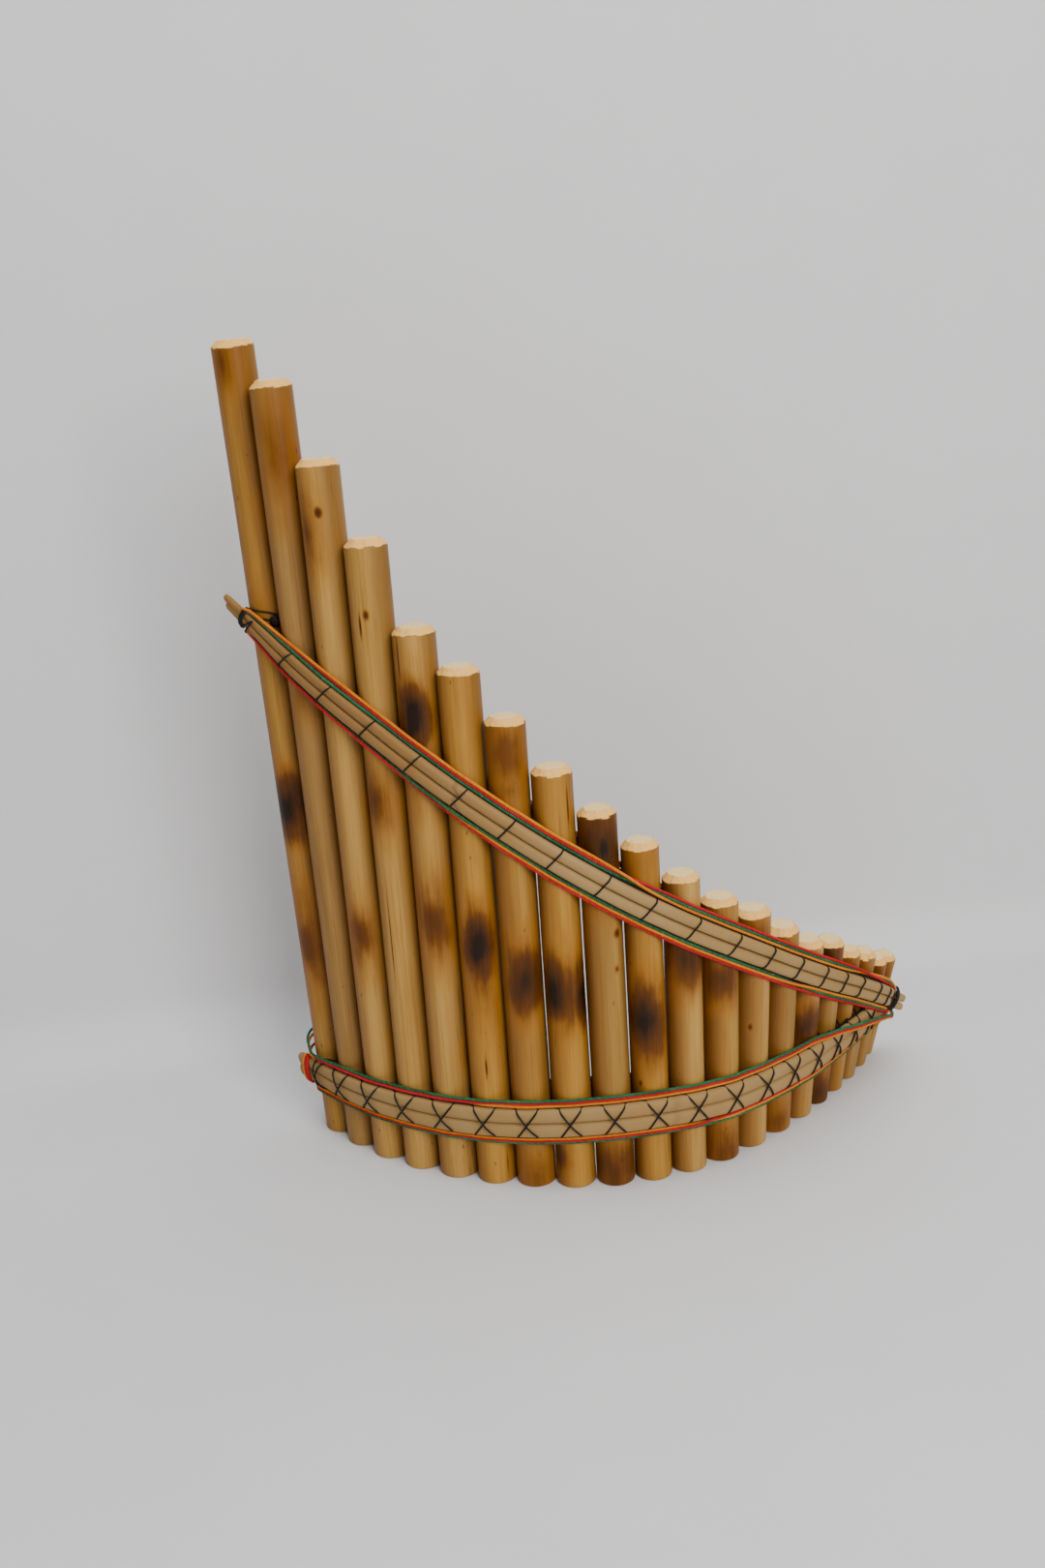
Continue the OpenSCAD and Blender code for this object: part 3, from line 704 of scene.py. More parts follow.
def makeStripTree():
    tree, given, result = newGroup("splitStrip", "GeometryNodeTree", (
        ("Geometry", "geometry", None), ("Width", "float", 0.005), ("Thickness", "float", 0.0028),
        ("Step", "float", 0.0015), ("Sides", "int", 18), ("Seed", "float", 0.0), ("Cane", "material", None)),
        (("Geometry", "geometry"),))
    line = add(tree, "GeometryNodeMeshToCurve", {"Mesh": given["Geometry"]})
    bent = add(tree, "GeometryNodeCurveSplineType", {"Curve": line.outputs[0]}, spline_type="CATMULL_ROM")
    even = add(tree, "GeometryNodeResampleCurve", {"Curve": bent.outputs[0], "Length": given["Step"]},
               mode="LENGTH")
    facing = add(tree, "GeometryNodeInputNamedAttribute", {"Name": "facing"}, data_type="FLOAT_VECTOR")
    aimed = add(tree, "GeometryNodeSetCurveNormal", {"Curve": even.outputs[0], "Normal": facing.outputs[0]},
                mode="FREE")
    length = add(tree, "GeometryNodeSplineParameter").outputs["Length"]
    marked = add(tree, "GeometryNodeStoreNamedAttribute", {
        "Geometry": aimed.outputs[0], "Name": "stripAlong", "Value": calc(tree, "MULTIPLY", length, 1000.0)},
        data_type="FLOAT", domain="POINT")
    loop = add(tree, "GeometryNodeCurvePrimitiveCircle", {"Resolution": given["Sides"], "Radius": 1.0},
               mode="RADIUS")
    spot = add(tree, "ShaderNodeSeparateXYZ",
               {"Vector": add(tree, "GeometryNodeInputPosition").outputs[0]}).outputs
    squared = calc(tree, "POWER", calc(tree, "ABSOLUTE", spot["X"]), 0.75)
    across = calc(tree, "MULTIPLY", calc(tree, "MULTIPLY", squared, calc(tree, "SIGN", spot["X"])),
                  calc(tree, "MULTIPLY", given["Width"], 0.5))
    crown = calc(tree, "POWER", calc(tree, "MAXIMUM", spot["Y"], 0.0), 0.55)
    out = calc(tree, "MULTIPLY_ADD", calc(tree, "MINIMUM", spot["Y"], 0.0), 0.06, crown)
    out = calc(tree, "MULTIPLY", out, given["Thickness"])
    section = add(tree, "ShaderNodeCombineXYZ", {"X": out, "Y": across}).outputs[0]
    shaped = add(tree, "GeometryNodeSetPosition", {"Geometry": loop.outputs[0], "Position": section})
    known = add(tree, "GeometryNodeStoreNamedAttribute", {
        "Geometry": shaped.outputs[0], "Name": "stripSection", "Value": scaled(tree, section, 1000.0)},
        data_type="FLOAT_VECTOR", domain="POINT")
    size = add(tree, "GeometryNodeInputNamedAttribute", {"Name": "size"}, data_type="FLOAT")
    swept = add(tree, "GeometryNodeCurveToMesh",
                {"Curve": marked.outputs[0], "Profile Curve": known.outputs[0],
                                                 "Scale": size.outputs[0], "Fill Caps": True})
    kept = add(tree, "GeometryNodeInputNamedAttribute", {"Name": "stripSection"}, data_type="FLOAT_VECTOR")
    run = add(tree, "GeometryNodeInputNamedAttribute", {"Name": "stripAlong"}, data_type="FLOAT")
    flat = add(tree, "ShaderNodeSeparateXYZ", {"Vector": kept.outputs[0]}).outputs
    local = add(tree, "ShaderNodeCombineXYZ",
                {"X": flat["Y"], "Y": flat["X"], "Z": run.outputs[0]}).outputs[0]
    stored = add(tree, "GeometryNodeStoreNamedAttribute", {
        "Geometry": swept.outputs[0], "Name": "canePoint", "Value": local}, data_type="FLOAT_VECTOR",
        domain="POINT")
    # split by hand, so the outer face waves a little
    wave = noise(tree, vectorCalc(tree, "ADD",
                                  scaled(tree, add(tree, "GeometryNodeInputPosition").outputs[0], 90.0),
                                  given["Seed"]), 2, 0.5)
    push = scaled(tree, add(tree, "GeometryNodeInputNormal").outputs[0],
                  calc(tree, "MULTIPLY", calc(tree, "SUBTRACT", wave, 0.6), 0.0003))
    rough = add(tree, "GeometryNodeSetPosition", {"Geometry": stored.outputs[0], "Offset": push})
    corner = calc(tree, "GREATER_THAN", add(tree, "GeometryNodeInputMeshEdgeAngle").outputs[0], 0.9)
    smooth = add(tree, "GeometryNodeSetShadeSmooth", {"Geometry": rough.outputs[0], "Shade Smooth": True})
    crisp = add(tree, "GeometryNodeSetShadeSmooth", {"Geometry": smooth.outputs[0], "Selection": corner,
                                                    "Shade Smooth": False}, domain="EDGE")
    real = add(tree, "GeometryNodeRealizeInstances", {"Geometry": crisp.outputs[0]})
    painted = add(tree, "GeometryNodeSetMaterial", {"Geometry": real.outputs[0], "Material": given["Cane"]})
    feed(tree, painted.outputs[0], result["Geometry"])
    return tree


def makeStripSkin(name, light, dark, warmUntil, seed):
    material, tree, shader = newMaterial(name)
    point = attribute(tree, "canePoint")["Vector"]
    fibre = place(tree, caneFibre, Point=point, Seed=float(seed), Width=1.6)
    lightness = calc(tree, "MULTIPLY_ADD", fibre["Streak"], 0.5, calc(tree, "MULTIPLY", fibre["Broad"], 0.35))
    lightness = calc(tree, "MULTIPLY_ADD", fibre["Fine"], 0.25, lightness, clamp=True)
    colour = blend(tree, lightness, dark, light)
    parts = add(tree, "ShaderNodeSeparateXYZ", {"Vector": point}).outputs
    warm = mapped(tree, parts["Z"], warmUntil, warmUntil - 110.0, 0.0, 0.7, smooth=True)
    colour = blend(tree, warm, colour, stripLook["brownTint"])
    # darker and rougher towards the strip's underside and low sides
    lowSide = mapped(tree, parts["Y"], 1.7, 0.5)
    colour = blend(tree, calc(tree, "MULTIPLY", lowSide, 0.8), colour, (0.20, 0.085, 0.015, 1))
    dirt = calc(tree, "MAXIMUM", calc(tree, "MULTIPLY", fibre["Speck"], 0.5), fibre["Crack"])
    colour = blend(tree, calc(tree, "MULTIPLY", dirt, 0.6), colour, (0.06, 0.03, 0.015, 1))
    feed(tree, colour, shader.inputs["Base Color"])
    rough = calc(tree, "MULTIPLY_ADD", fibre["Streak"], -0.1, stripLook["roughness"] + 0.05)
    feed(tree, calc(tree, "MULTIPLY_ADD", lowSide, 0.25, rough), shader.inputs["Roughness"])
    bump(tree, fibre["Height"], 0.35, 0.0002, shader)
    shader.inputs["Specular IOR Level"].default_value = 0.35
    return material


def stripPath(rowSide, side, isUpper):
    spot, widthAt = (onUpper, upperWidth) if isUpper else (onLower, lowerWidth)
    nominal = bands["upperWidth"] if isUpper else bands["lowerWidth"]
    low, high = stripLook["upperStubs" if isUpper else "lowerStubs"]
    if side == back:
        low, high = 8, 2
    sign = 1 if side == front else -1
    path = [spot(i, rowSide * (widthAt(i) + bands["split"]) / 2, 0, side) for i in range(caneCount)]
    sizes = [widthAt(i) / nominal for i in range(caneCount)]
    outs = [canes[i]["out"] * sign for i in range(caneCount)]
    before = (path[0] - path[1]).normalized()
    after = (path[-1] - path[-2]).normalized()
    # stubs run straight on and end in a slanting cut
    spring = canes[-1]["out"] * sign * 0.12
    path = ([path[0] + before * low * mm, path[0] + before * (low * 0.9) * mm,
             path[0] + before * (low * 0.45) * mm]
            + path + [path[-1] + (after + spring) * (high * 0.5) * mm,
                      path[-1] + (after + spring * 2) * high * mm])
    sizes = [sizes[0] * 0.72, sizes[0] * 0.96, sizes[0]] + sizes + [sizes[-1], sizes[-1] * 0.86]
    outs = [outs[0]] * 3 + outs + [outs[-1]] * 2
    return pathMesh("stripPath", [path], [outs], [sizes])


stripTree = makeStripTree()
upperCane = makeStripSkin("upperSplitCane", stripLook["upperLight"], stripLook["upperDark"], 190.0, 31)
lowerCane = makeStripSkin("lowerSplitCane", stripLook["lowerLight"], stripLook["lowerDark"], 60.0, 32)
for isUpper in (True, False):
    for side in (front, back):
        for rowSide in (1, -1):
            name = ("upper" if isUpper else "lower") + ("Front" if side == front else "Back")
            name += "Strip" + ("Top" if rowSide > 0 else "Bottom")
            shape = runTree(name, stripTree, stripPath(rowSide, side, isUpper), {
                "Width": (bands["upperWidth"] if isUpper else bands["lowerWidth"]) * mm,
                "Thickness": bands["thickness"] * mm,
                "Step": stripLook["step"] * mm,
                "Sides": stripLook["sides"],
                "Seed": float(rowSide * 3 + side),
                "Cane": upperCane if isUpper else lowerCane,
            })
            node = "%s_%s_strip_%s" % ("upper" if isUpper else "lower", "front" if side == front else "back",
                                       "top" if rowSide > 0 else "bottom")
            showPiece(name, shape, "split_cane", node)
print("split-cane strips made")


# ---- cords and threads

cordLook = {
    "width": 1.4,
    "plies": 3,
    "plyDepth": 0.34,
    "lay": 3.0,  # length of one full turn of the plies
    "sides": 12,
    "step": 0.42,
    "edgeRoom": 0.5,  # between a strip and the first cord, where the black thread runs
    "lanePitch": 1.15,
    "lowGather": (0.5, 1.6),  # how far the upper cords draw together, and over how many half steps
    "highGather": (0.55, 1.2),  # and over how many canes
    "upperEnds": (4.9, 2.2),  # past the longest cane and past the shortest
    "loopRise": {"green": 6.8, "orange": 5.2, "red": 0.6},  # at the lower band's low end
    "green": ((0.035, 0.240, 0.095, 1), (0.006, 0.070, 0.028, 1), (0.52, 0.66, 0.36, 1)),
    "red": ((0.720, 0.016, 0.024, 1), (0.330, 0.004, 0.008, 1), (0.90, 0.20, 0.12, 1)),
    "orange": ((0.900, 0.340, 0.005, 1), (0.600, 0.140, 0.002, 1), (1.00, 0.70, 0.16, 1)),
}

threadLook = {
    "width": 0.95,
    "plies": 2,
    "plyDepth": 0.2,
    "lay": 2.0,
    "sides": 8,
    "step": 0.6,
    "light": (0.014, 0.011, 0.010, 1),
    "dark": (0.003, 0.003, 0.003, 1),
    "glint": (0.16, 0.15, 0.14, 1),
}


def makeCordTree():
    tree, given, result = newGroup("laidCord", "GeometryNodeTree", (
        ("Geometry", "geometry", None), ("Width", "float", 0.0012), ("Plies", "int", 3),
        ("Ply Depth", "float", 0.3),
        ("Lay", "float", 0.0034), ("Step", "float", 0.0004), ("Sides", "int", 12),
        ("Yarn", "material", None)),
        (("Geometry", "geometry"),))
    line = add(tree, "GeometryNodeMeshToCurve", {"Mesh": given["Geometry"]})
    bent = add(tree, "GeometryNodeCurveSplineType", {"Curve": line.outputs[0]}, spline_type="CATMULL_ROM")
    even = add(tree, "GeometryNodeResampleCurve", {"Curve": bent.outputs[0], "Length": given["Step"]},
               mode="LENGTH")
    length = add(tree, "GeometryNodeSplineParameter").outputs["Length"]
    twist = calc(tree, "MULTIPLY", calc(tree, "DIVIDE", length, given["Lay"]), math.tau)
    laid = add(tree, "GeometryNodeSetCurveTilt", {"Curve": even.outputs[0], "Tilt": twist})
    marked = add(tree, "GeometryNodeStoreNamedAttribute", {
        "Geometry": laid.outputs[0], "Name": "cordAlong", "Value": calc(tree, "MULTIPLY", length, 1000.0)},
        data_type="FLOAT", domain="POINT")
    loop = add(tree, "GeometryNodeCurvePrimitiveCircle", {
        "Resolution": given["Sides"], "Radius": calc(tree, "MULTIPLY", given["Width"], 0.5)}, mode="RADIUS")
    around = calc(tree, "MULTIPLY", add(tree, "GeometryNodeSplineParameter").outputs["Factor"], math.tau)
    ridge = calc(tree, "COSINE", calc(tree, "MULTIPLY", around, given["Plies"]))
    valley = calc(tree, "MULTIPLY_ADD", ridge, -0.5, 0.5)
    lobes = calc(tree, "SUBTRACT", 1.0, calc(tree, "MULTIPLY", valley, given["Ply Depth"]))
    spot = scaled(tree, add(tree, "GeometryNodeInputPosition").outputs[0], lobes)
    shaped = add(tree, "GeometryNodeSetPosition", {"Geometry": loop.outputs[0], "Position": spot})
    ring = add(tree, "ShaderNodeCombineXYZ",
               {"X": calc(tree, "COSINE", around), "Y": calc(tree, "SINE", around),
                                             "Z": valley}).outputs[0]
    known = add(tree, "GeometryNodeStoreNamedAttribute", {
        "Geometry": shaped.outputs[0], "Name": "cordRing", "Value": ring}, data_type="FLOAT_VECTOR",
        domain="POINT")
    swept = add(tree, "GeometryNodeCurveToMesh",
                {"Curve": marked.outputs[0], "Profile Curve": known.outputs[0],
                                                 "Fill Caps": True})
    kept = add(tree, "GeometryNodeInputNamedAttribute", {"Name": "cordRing"}, data_type="FLOAT_VECTOR")
    run = add(tree, "GeometryNodeInputNamedAttribute", {"Name": "cordAlong"}, data_type="FLOAT")
    flat = add(tree, "ShaderNodeSeparateXYZ", {"Vector": kept.outputs[0]}).outputs
    local = add(tree, "ShaderNodeCombineXYZ",
                {"X": flat["X"], "Y": flat["Y"], "Z": run.outputs[0]}).outputs[0]
    shape = swept.outputs[0]
    for name, kind, value in (("cordPoint", "FLOAT_VECTOR", local), ("cordValley", "FLOAT", flat["Z"])):
        keep = add(tree, "GeometryNodeStoreNamedAttribute", {"Geometry": shape, "Name": name, "Value": value},
                   data_type=kind, domain="POINT")
        shape = keep.outputs[0]
    smooth = add(tree, "GeometryNodeSetShadeSmooth", {"Geometry": shape, "Shade Smooth": True})
    real = add(tree, "GeometryNodeRealizeInstances", {"Geometry": smooth.outputs[0]})
    painted = add(tree, "GeometryNodeSetMaterial", {"Geometry": real.outputs[0], "Material": given["Yarn"]})
    feed(tree, painted.outputs[0], result["Geometry"])
    return tree


def makeYarn(name, light, dark, fleck, seed, roughness, flecks):
    material, tree, shader = newMaterial(name)
    yarn = place(tree, yarnFibre, Point=attribute(tree, "cordPoint")["Vector"],
                 Valley=attribute(tree, "cordValley")["Fac"], Seed=float(seed))
    colour = blend(tree, yarn["Tone"], dark, light)
    colour = blend(tree, calc(tree, "MULTIPLY", yarn["Fleck"], flecks), colour, fleck)
    feed(tree, colour, shader.inputs["Base Color"])
    feed(tree, calc(tree, "MULTIPLY_ADD", yarn["Tone"], -0.15, roughness), shader.inputs["Roughness"])
    bump(tree, yarn["Height"], 0.5, 0.0001, shader)
    shader.inputs["Specular IOR Level"].default_value = 0.3
    return material


cordTree = makeCordTree()


def makeCord(name, paths, look, material, slot, *nodes):
    shape = runTree(name, cordTree, pathMesh(name + "Path", paths), {
        "Width": look["width"] * mm,
        "Plies": look["plies"],
        "Ply Depth": look["plyDepth"],
        "Lay": look["lay"] * mm,
        "Step": look["step"] * mm,
        "Sides": look["sides"],
        "Yarn": material,
    })
    return showPiece(name, shape, slot, *nodes)


# lane 0 lies next to the strips and lane 2 outermost; each key is (cane, lane, lift over the other cords)
cordLanes = {
    "upperTop": {"green": ((0, 0.2, 0), (4, 0, 0), (8, 0, 0), (9.5, 1, 0), (19, 1, 0)),
                 "red": ((0, 0.9, 0), (8, 1, 0), (9.5, 2, 0), (15, 2, 0), (18, 0, 0), (19, 0, 0)),
                 "orange": ((0, 1.6, 0.2), (3, 2, 0), (8, 2, 0), (9.5, 0, 0), (15, 0, 0), (18, 2, 0),
                            (19, 2, 0))},
    "upperBottom": {"green": ((0, 0.3, 0), (3, 0.3, 0), (6, 0, 0), (12, 0, 0), (14, 1, 0), (19, 1, 0)),
                    "orange": ((0, 0.4, 0.2), (3, 1, 0.2), (6, 1, 0), (12, 1, 0), (14, 0, 0), (19, 0, 0)),
                    "red": ((0, 0.4, 0.9), (3, 0.6, 0.8), (6, 2, 0), (19, 2, 0))},
    "lowerTop": {"green": ((0, 1.3, 0), (4, 1.5, 0), (7, 2, 0), (19, 2, 0)),
                 "red": ((0, 0.4, 0.7), (4, 0.5, 0.7), (7, 1, 0), (19, 1, 0)),
                 "orange": ((0, 0.4, -0.4), (4, 0.4, -0.3), (7, 0, 0), (19, 0, 0))},
    "lowerBottom": {"green": ((0, 1.5, 0), (19, 2, 0)),
                    "red": ((0, 0.7, 0), (9, 1, 0), (11, 0, 0), (19, 0, 0)),
                    "orange": ((0, 0, 0), (9, 0, 0), (11, 1, 0), (19, 1, 0))},
}


def laneAt(keys, i):
    for (start, low, under), (end, high, over) in zip(keys, keys[1:]):
        if i <= end:
            share = (i - start) / (end - start)
            share = share * share * (3 - 2 * share)
            hump = 4 * share * (1 - share) * (high < low) * 1.1
            return low + (high - low) * share, under + (over - under) * share + hump
    return keys[-1][1:]


def laneRoom(halfWidth, lane):
    return halfWidth + cordLook["edgeRoom"] + (lane + 0.5) * cordLook["lanePitch"]


def mixed(i, share, spot):
    # a point a share of the way from cane i to the next
    if share == 0 or i >= lastCane:
        return spot(min(i, lastCane))
    return spot(i) * (1 - share) + spot(i + 1) * share


def upperCordPath(colour, edge, side):
    keys = cordLanes["upperTop" if edge > 0 else "upperBottom"][colour]
    path = []
    for half in range(0, 2 * lastCane + 1):
        i, share = half // 2, (half % 2) / 2
        lane, lift = laneAt(keys, half / 2)
        # gathered where the end bindings hold them
        high, highReach = cordLook["highGather"]
        low, lowReach = cordLook["lowGather"]
        lane *= 1 - high * math.exp((half / 2 - lastCane) / highReach) - low * math.exp(-half / lowReach)
        lift *= 1 - 0.8 * math.exp(-half / lowReach)
        path.append(mixed(i, share, lambda k: onUpper(
            k, edge * laneRoom(upperWidth(k) + bands["split"] / 2, lane), cordLook["width"] / 2 + lift,
            side)))
    # the ends run along the strips into the bindings
    pastLow, pastHigh = cordLook["upperEnds"]
    reach = [(0, path[0], path[1], pastLow), (lastCane, path[-1], path[-2], pastHigh)]
    ends = []
    for i, last, before, length in reach:
        away = (last - before).normalized() * mm
        inward = canes[i]["axis"] * -edge * mm
        up = canes[i]["out"] * (0.8 if side == front else -0.8) * mm
        ends.append([last + away * (length * 0.5) + inward * 0.4 + up * 0.5,
                     last + away * length + inward * 1.1 + up])
    return ends[0][::-1] + path + ends[1]


def lowerHeight(i, lane, edge):
    # towards the short end both edges' cords draw together under the upper band
    meet = crossing(i) ** 1.6 * bands["crossDrop"] if edge > 0 else -7 * max(0, (i - lastCane + 2) / 2) ** 1.5
    lane *= 1 - 0.6 * crossing(i) ** 2
    return lowerMid(i) + edge * laneRoom(bands["lowerWidth"] + bands["split"] / 2, lane) - meet


def lowerLift(i, edge):
    ride = min(1, 3 * crossing(i)) if edge > 0 else max(0, i - lastCane + 2) / 2
    return bands["seat"] + cordLook["width"] / 2 + (bands["thickness"] + 1.4 + bands["seat"]) * ride


def lowerCordPath(colour, edge):
    keys = cordLanes["lowerTop" if edge > 0 else "lowerBottom"][colour]

    def run(side):
        path = []
        for half in range(2, 2 * lastCane + 1):
            i, share = half // 2, (half % 2) / 2
            lane, lift = laneAt(keys, half / 2)
            path.append(mixed(i, share, lambda k: beside(
                k, lowerHeight(k, lane, edge), lowerLift(k, edge) + lift, side)))
        if side == front:  # into the foot of the right binding
            foot = onUpper(lastCane, -upperWidth(lastCane) * 0.9, 0.5 + 0.4 * keys[-1][1], front)
            path.append(path[-1] * 0.4 + foot * 0.6 + canes[-1]["along"] * 0.6 * mm)
            path.append(foot + canes[-1]["along"] * 1.2 * mm)
        return path

    # round the longest cane to the back, where two of the top cords stand up in a loop
    lane = keys[0][1]
    height = lowerHeight(0, lane, edge)
    off = lowerLift(0, edge) + bands["thickness"] * (0.5 if edge > 0 else 0.15)
    rise = cordLook["loopRise"][colour] if edge > 0 else 0
    bend = []
    for k in range(9):
        stand = math.sin(math.pi * k / 8) ** 0.7
        bend.append(beside(0, height + rise * stand, off + rise * 0.12 * stand, -180 * k / 8))
    return run(front)[::-1] + bend + run(back)


binding = {
    "leftStart": 4.6,
    "leftTurns": 3,
    "rightStart": -1.0,
    "rightTurns": 5,
    "steps": 14,  # points in one turn
    "knotRadius": 2.0,
    "wrapStart": 5,
    "wrapTurns": 2,
    "orangeStart": 7.9,
}


def stubFrame(i, middle, slope, off):
    way = -1 if i == 0 else 1
    along = (canes[i]["along"] * math.cos(slope) + canes[i]["axis"] * math.sin(slope)).normalized() * way
    across = canes[i]["out"].cross(along).normalized()
    return beside(i, middle, off + bands["thickness"] / 2), along, across, canes[i]["out"]


def coil(centre, along, across, out, start, turns, pitch, halfWidth, halfThick, slant=0.0):
    path = []
    for k in range(int(turns * binding["steps"]) + 1):
        share = k / binding["steps"]
        angle = math.tau * share
        shift = start + pitch * share + slant * math.cos(angle)
        path.append(centre + along * shift * mm + across * halfWidth * math.cos(angle) * mm
                    + out * halfThick * math.sin(angle) * mm)
    return path


def leftWrap(start, turns):
    centre, along, across, out = stubFrame(0, lowerMid(0), 0, bands["seat"])
    halfWidth = lowerWidth(0) + 0.8
    halfThick = bands["thickness"] / 2 + 0.8
    return coil(centre, along, across, out, start, turns, 1.3, halfWidth, halfThick)


yarns = {}
for n, colour in enumerate(("green", "red", "orange")):
    light, dark, fleck = cordLook[colour]
    yarns[colour] = makeYarn(colour + "Yarn", light, dark, fleck, n + 1, 0.8,
                             0.75 if colour == "green" else 0.4)
    makeCord("upper%sCord" % colour.capitalize(),
             [upperCordPath(colour, edge, side) for side in (front, back) for edge in (1, -1)],
             cordLook, yarns[colour], colour + "_cord", "upper_%s_cord" % colour)
    lowerPaths = [lowerCordPath(colour, edge) for edge in (1, -1)]
    if colour == "orange":  # one turn of it lies beside the red wrap on the left stub
        lowerPaths.append(leftWrap(binding["orangeStart"], 1))
    makeCord("lower%sCord" % colour.capitalize(), lowerPaths,
             cordLook, yarns[colour], colour + "_cord", "lower_%s_cord" % colour)
print("cords laid")


# ---- lashings

lashing = {
    "tuck": 2.5,  # how deep a thread's ends reach between two canes
    "upperSlant": 0.2,
    "lowerSlant": 0.26,
    "edgeRun": 0.45,  # height of the thread that runs along a strip's edge
}

blackThread = makeYarn("waxedThread", threadLook["light"], threadLook["dark"], threadLook["glint"], 9, 0.62,
                       0.35)
overStrip = bands["thickness"] + threadLook["width"] / 2 + 0.05


def threadStops(half, slant, lift):
    # over one cane's crest: straight across both strips, then under the cords and down between the canes
    edge = half + cordLook["edgeRoom"]
    low = bands["thickness"] * 0.45
    return ((-0.5, -edge - 0.3, -lashing["tuck"]), (-slant * 1.25, -edge, 0.2), (-slant, -half * 0.98, low),
            (-slant * 0.75, -half * 0.74, overStrip - 0.1), (0, 0, overStrip - 0.1 + lift),
            (slant * 0.75, half * 0.74, overStrip - 0.1), (slant, half * 0.98, low),
            (slant * 1.25, edge, 0.2), (0.5, edge + 0.3, -lashing["tuck"]))


def crestPath(i, stops, onBand, side):
    path = []
    for share, across, off in stops:
        near = min(max(i + (1 if share > 0 else -1), 0), lastCane)
        share = abs(share)
        path.append(onBand(i, across, off, side) * (1 - share) + onBand(near, across, off, side) * share)
    return path


upperThreads = []
for i in range(1, caneCount):
    half = upperWidth(i) + bands["split"] / 2
    for side in (front, back):
        stops = threadStops(half, lashing["upperSlant"] * (1 if side == front else -1), 0)
        early = 0.35 * max(0, i - 17) / 2 if side == front else 0  # they close up before the right binding
        stops = [(share - early, across, off) for share, across, off in stops]
        upperThreads.append(crestPath(i, stops, onUpper, side))
lowerThreads = []
for i in range(0, lastCane - 1):
    half = bands["lowerWidth"] + bands["split"] / 2
    for side in (front, back):
        for slant, lift in ((lashing["lowerSlant"], 0), (-lashing["lowerSlant"], threadLook["width"] + 0.05)):
            lowerThreads.append(crestPath(i, threadStops(half, slant, lift), onLower, side))
# a thread runs along each edge of the strips, under the cords
for side in (front, back):
    for edge in (1, -1):
        upperThreads.append([onUpper(i, edge * (upperWidth(i) + bands["split"] / 2 + 0.4),
                                     lashing["edgeRun"], side)
                             for i in range(caneCount)])
        lowerThreads.append([onLower(i, edge * (lowerWidth(i) + bands["split"] / 2 + 0.4),
                                     lashing["edgeRun"], side)
                             for i in range(caneCount)])
makeCord("upperLashing", upperThreads, threadLook, blackThread, "black_thread", "upper_lashing")
makeCord("lowerLashing", lowerThreads, threadLook, blackThread, "black_thread", "lower_lashing")
print("lashings made")


# ---- bindings at the ends

def leftBinding():
    centre, along, across, out = stubFrame(0, upperMid(0), upperSlope(0), upperOff(0))
    halfWidth = upperWidth(0) + bands["split"] + 0.9
    halfThick = bands["thickness"] / 2 + 0.7
    turns = coil(centre, along, across, out, binding["leftStart"], binding["leftTurns"], 0.8, halfWidth,
                 halfThick)

    def onFace(reach, side, off=0.5):
        return centre + (along * reach + across * halfWidth * side + out * (bands["thickness"] / 2 + off)) * mm

    # two lines cross the strips from the binding and meet under the top cords
    up = 1 if across.z > 0 else -1
    cross = [[onFace(5.2, -0.9 * up, -0.3), onFace(3.4, -0.5 * up), onFace(1.2, 0.3 * up),
              onFace(-1.2, 1.1 * up, 0.2)],
             [onFace(1.6, -1.02 * up, -0.9), onFace(1.0, -0.6 * up), onFace(0, 0.2 * up),
              onFace(-1.4, 1.1 * up, 0.2)]]
    # and two lead on over the first cane to the knot
    lines = []
    for drop in (-1.2, 1.8):
        lines.append([beside(0, upperMid(0) + 5.5 + drop, 1.2, -30),
                      beside(0, upperMid(0) + 5.2 + drop, 0.5, 5),
                      beside(0, upperMid(0) + 4.6 + drop, 0.4, 30),
                      beside(0, upperMid(0) + 3.8 + drop, 0.4, 55),
                      beside(0, upperMid(0) + 3 + drop * 0.6, 1.2, 78)])
    return [turns] + cross + lines


def knotPaths():
    # a wad of thread between the first two canes, wound in three directions
    centre = (beside(0, upperMid(0) + 2.2, 1.4, 62) + beside(1, upperMid(0) + 2.2, 1.4, -55)) / 2
    out = canes[0]["out"]
    along = canes[0]["along"]
    up = canes[0]["axis"]
    paths = []
    for n, (first, second, third) in enumerate(((along, up, out), (up, out, along), (out, along, up))):
        radius = binding["knotRadius"] - 0.25 * n
        path = []
        for k in range(37):
            angle = math.tau * k / 12
            sway = 0.55 * math.sin(angle / 3 * 2 + n)
            path.append(centre + (first * math.cos(angle) * radius + second * math.sin(angle) * radius * 0.9
                                  + third * sway * radius) * mm)
        paths.append(path)
    return paths


def rightBinding():
    end = onUpper(lastCane, 0, 0, front)
    along = (end - onUpper(lastCane - 1, 0, 0, front)).normalized()
    out = (canes[-1]["out"] - along * canes[-1]["out"].dot(along)).normalized()
    across = out.cross(along)
    centre = end + out * bands["thickness"] / 2 * mm
    halfWidth = upperWidth(lastCane) + bands["split"] + 1.1
    halfThick = bands["thickness"] / 2 + 0.8
    turns = coil(centre, along, across, out, binding["rightStart"], binding["rightTurns"], 0.8, halfWidth,
                 halfThick)
    over = coil(centre, along, across, out, binding["rightStart"] + 0.7, binding["rightTurns"] - 2, 0.8,
                halfWidth + 0.4, halfThick + 0.4)
    return [turns, over]


makeCord("upperLeftBinding", leftBinding(), threadLook, blackThread, "black_thread", "upper_left_binding")
makeCord("upperLeftKnot", knotPaths(), threadLook, blackThread, "black_thread", "upper_left_knot")
makeCord("rightBinding", rightBinding(), threadLook, blackThread, "black_thread", "right_binding")
makeCord("lowerLeftWrap", [leftWrap(binding["wrapStart"], binding["wrapTurns"])], cordLook, yarns["red"],
         "red_cord", "lower_left_wrap")
print("bindings made")


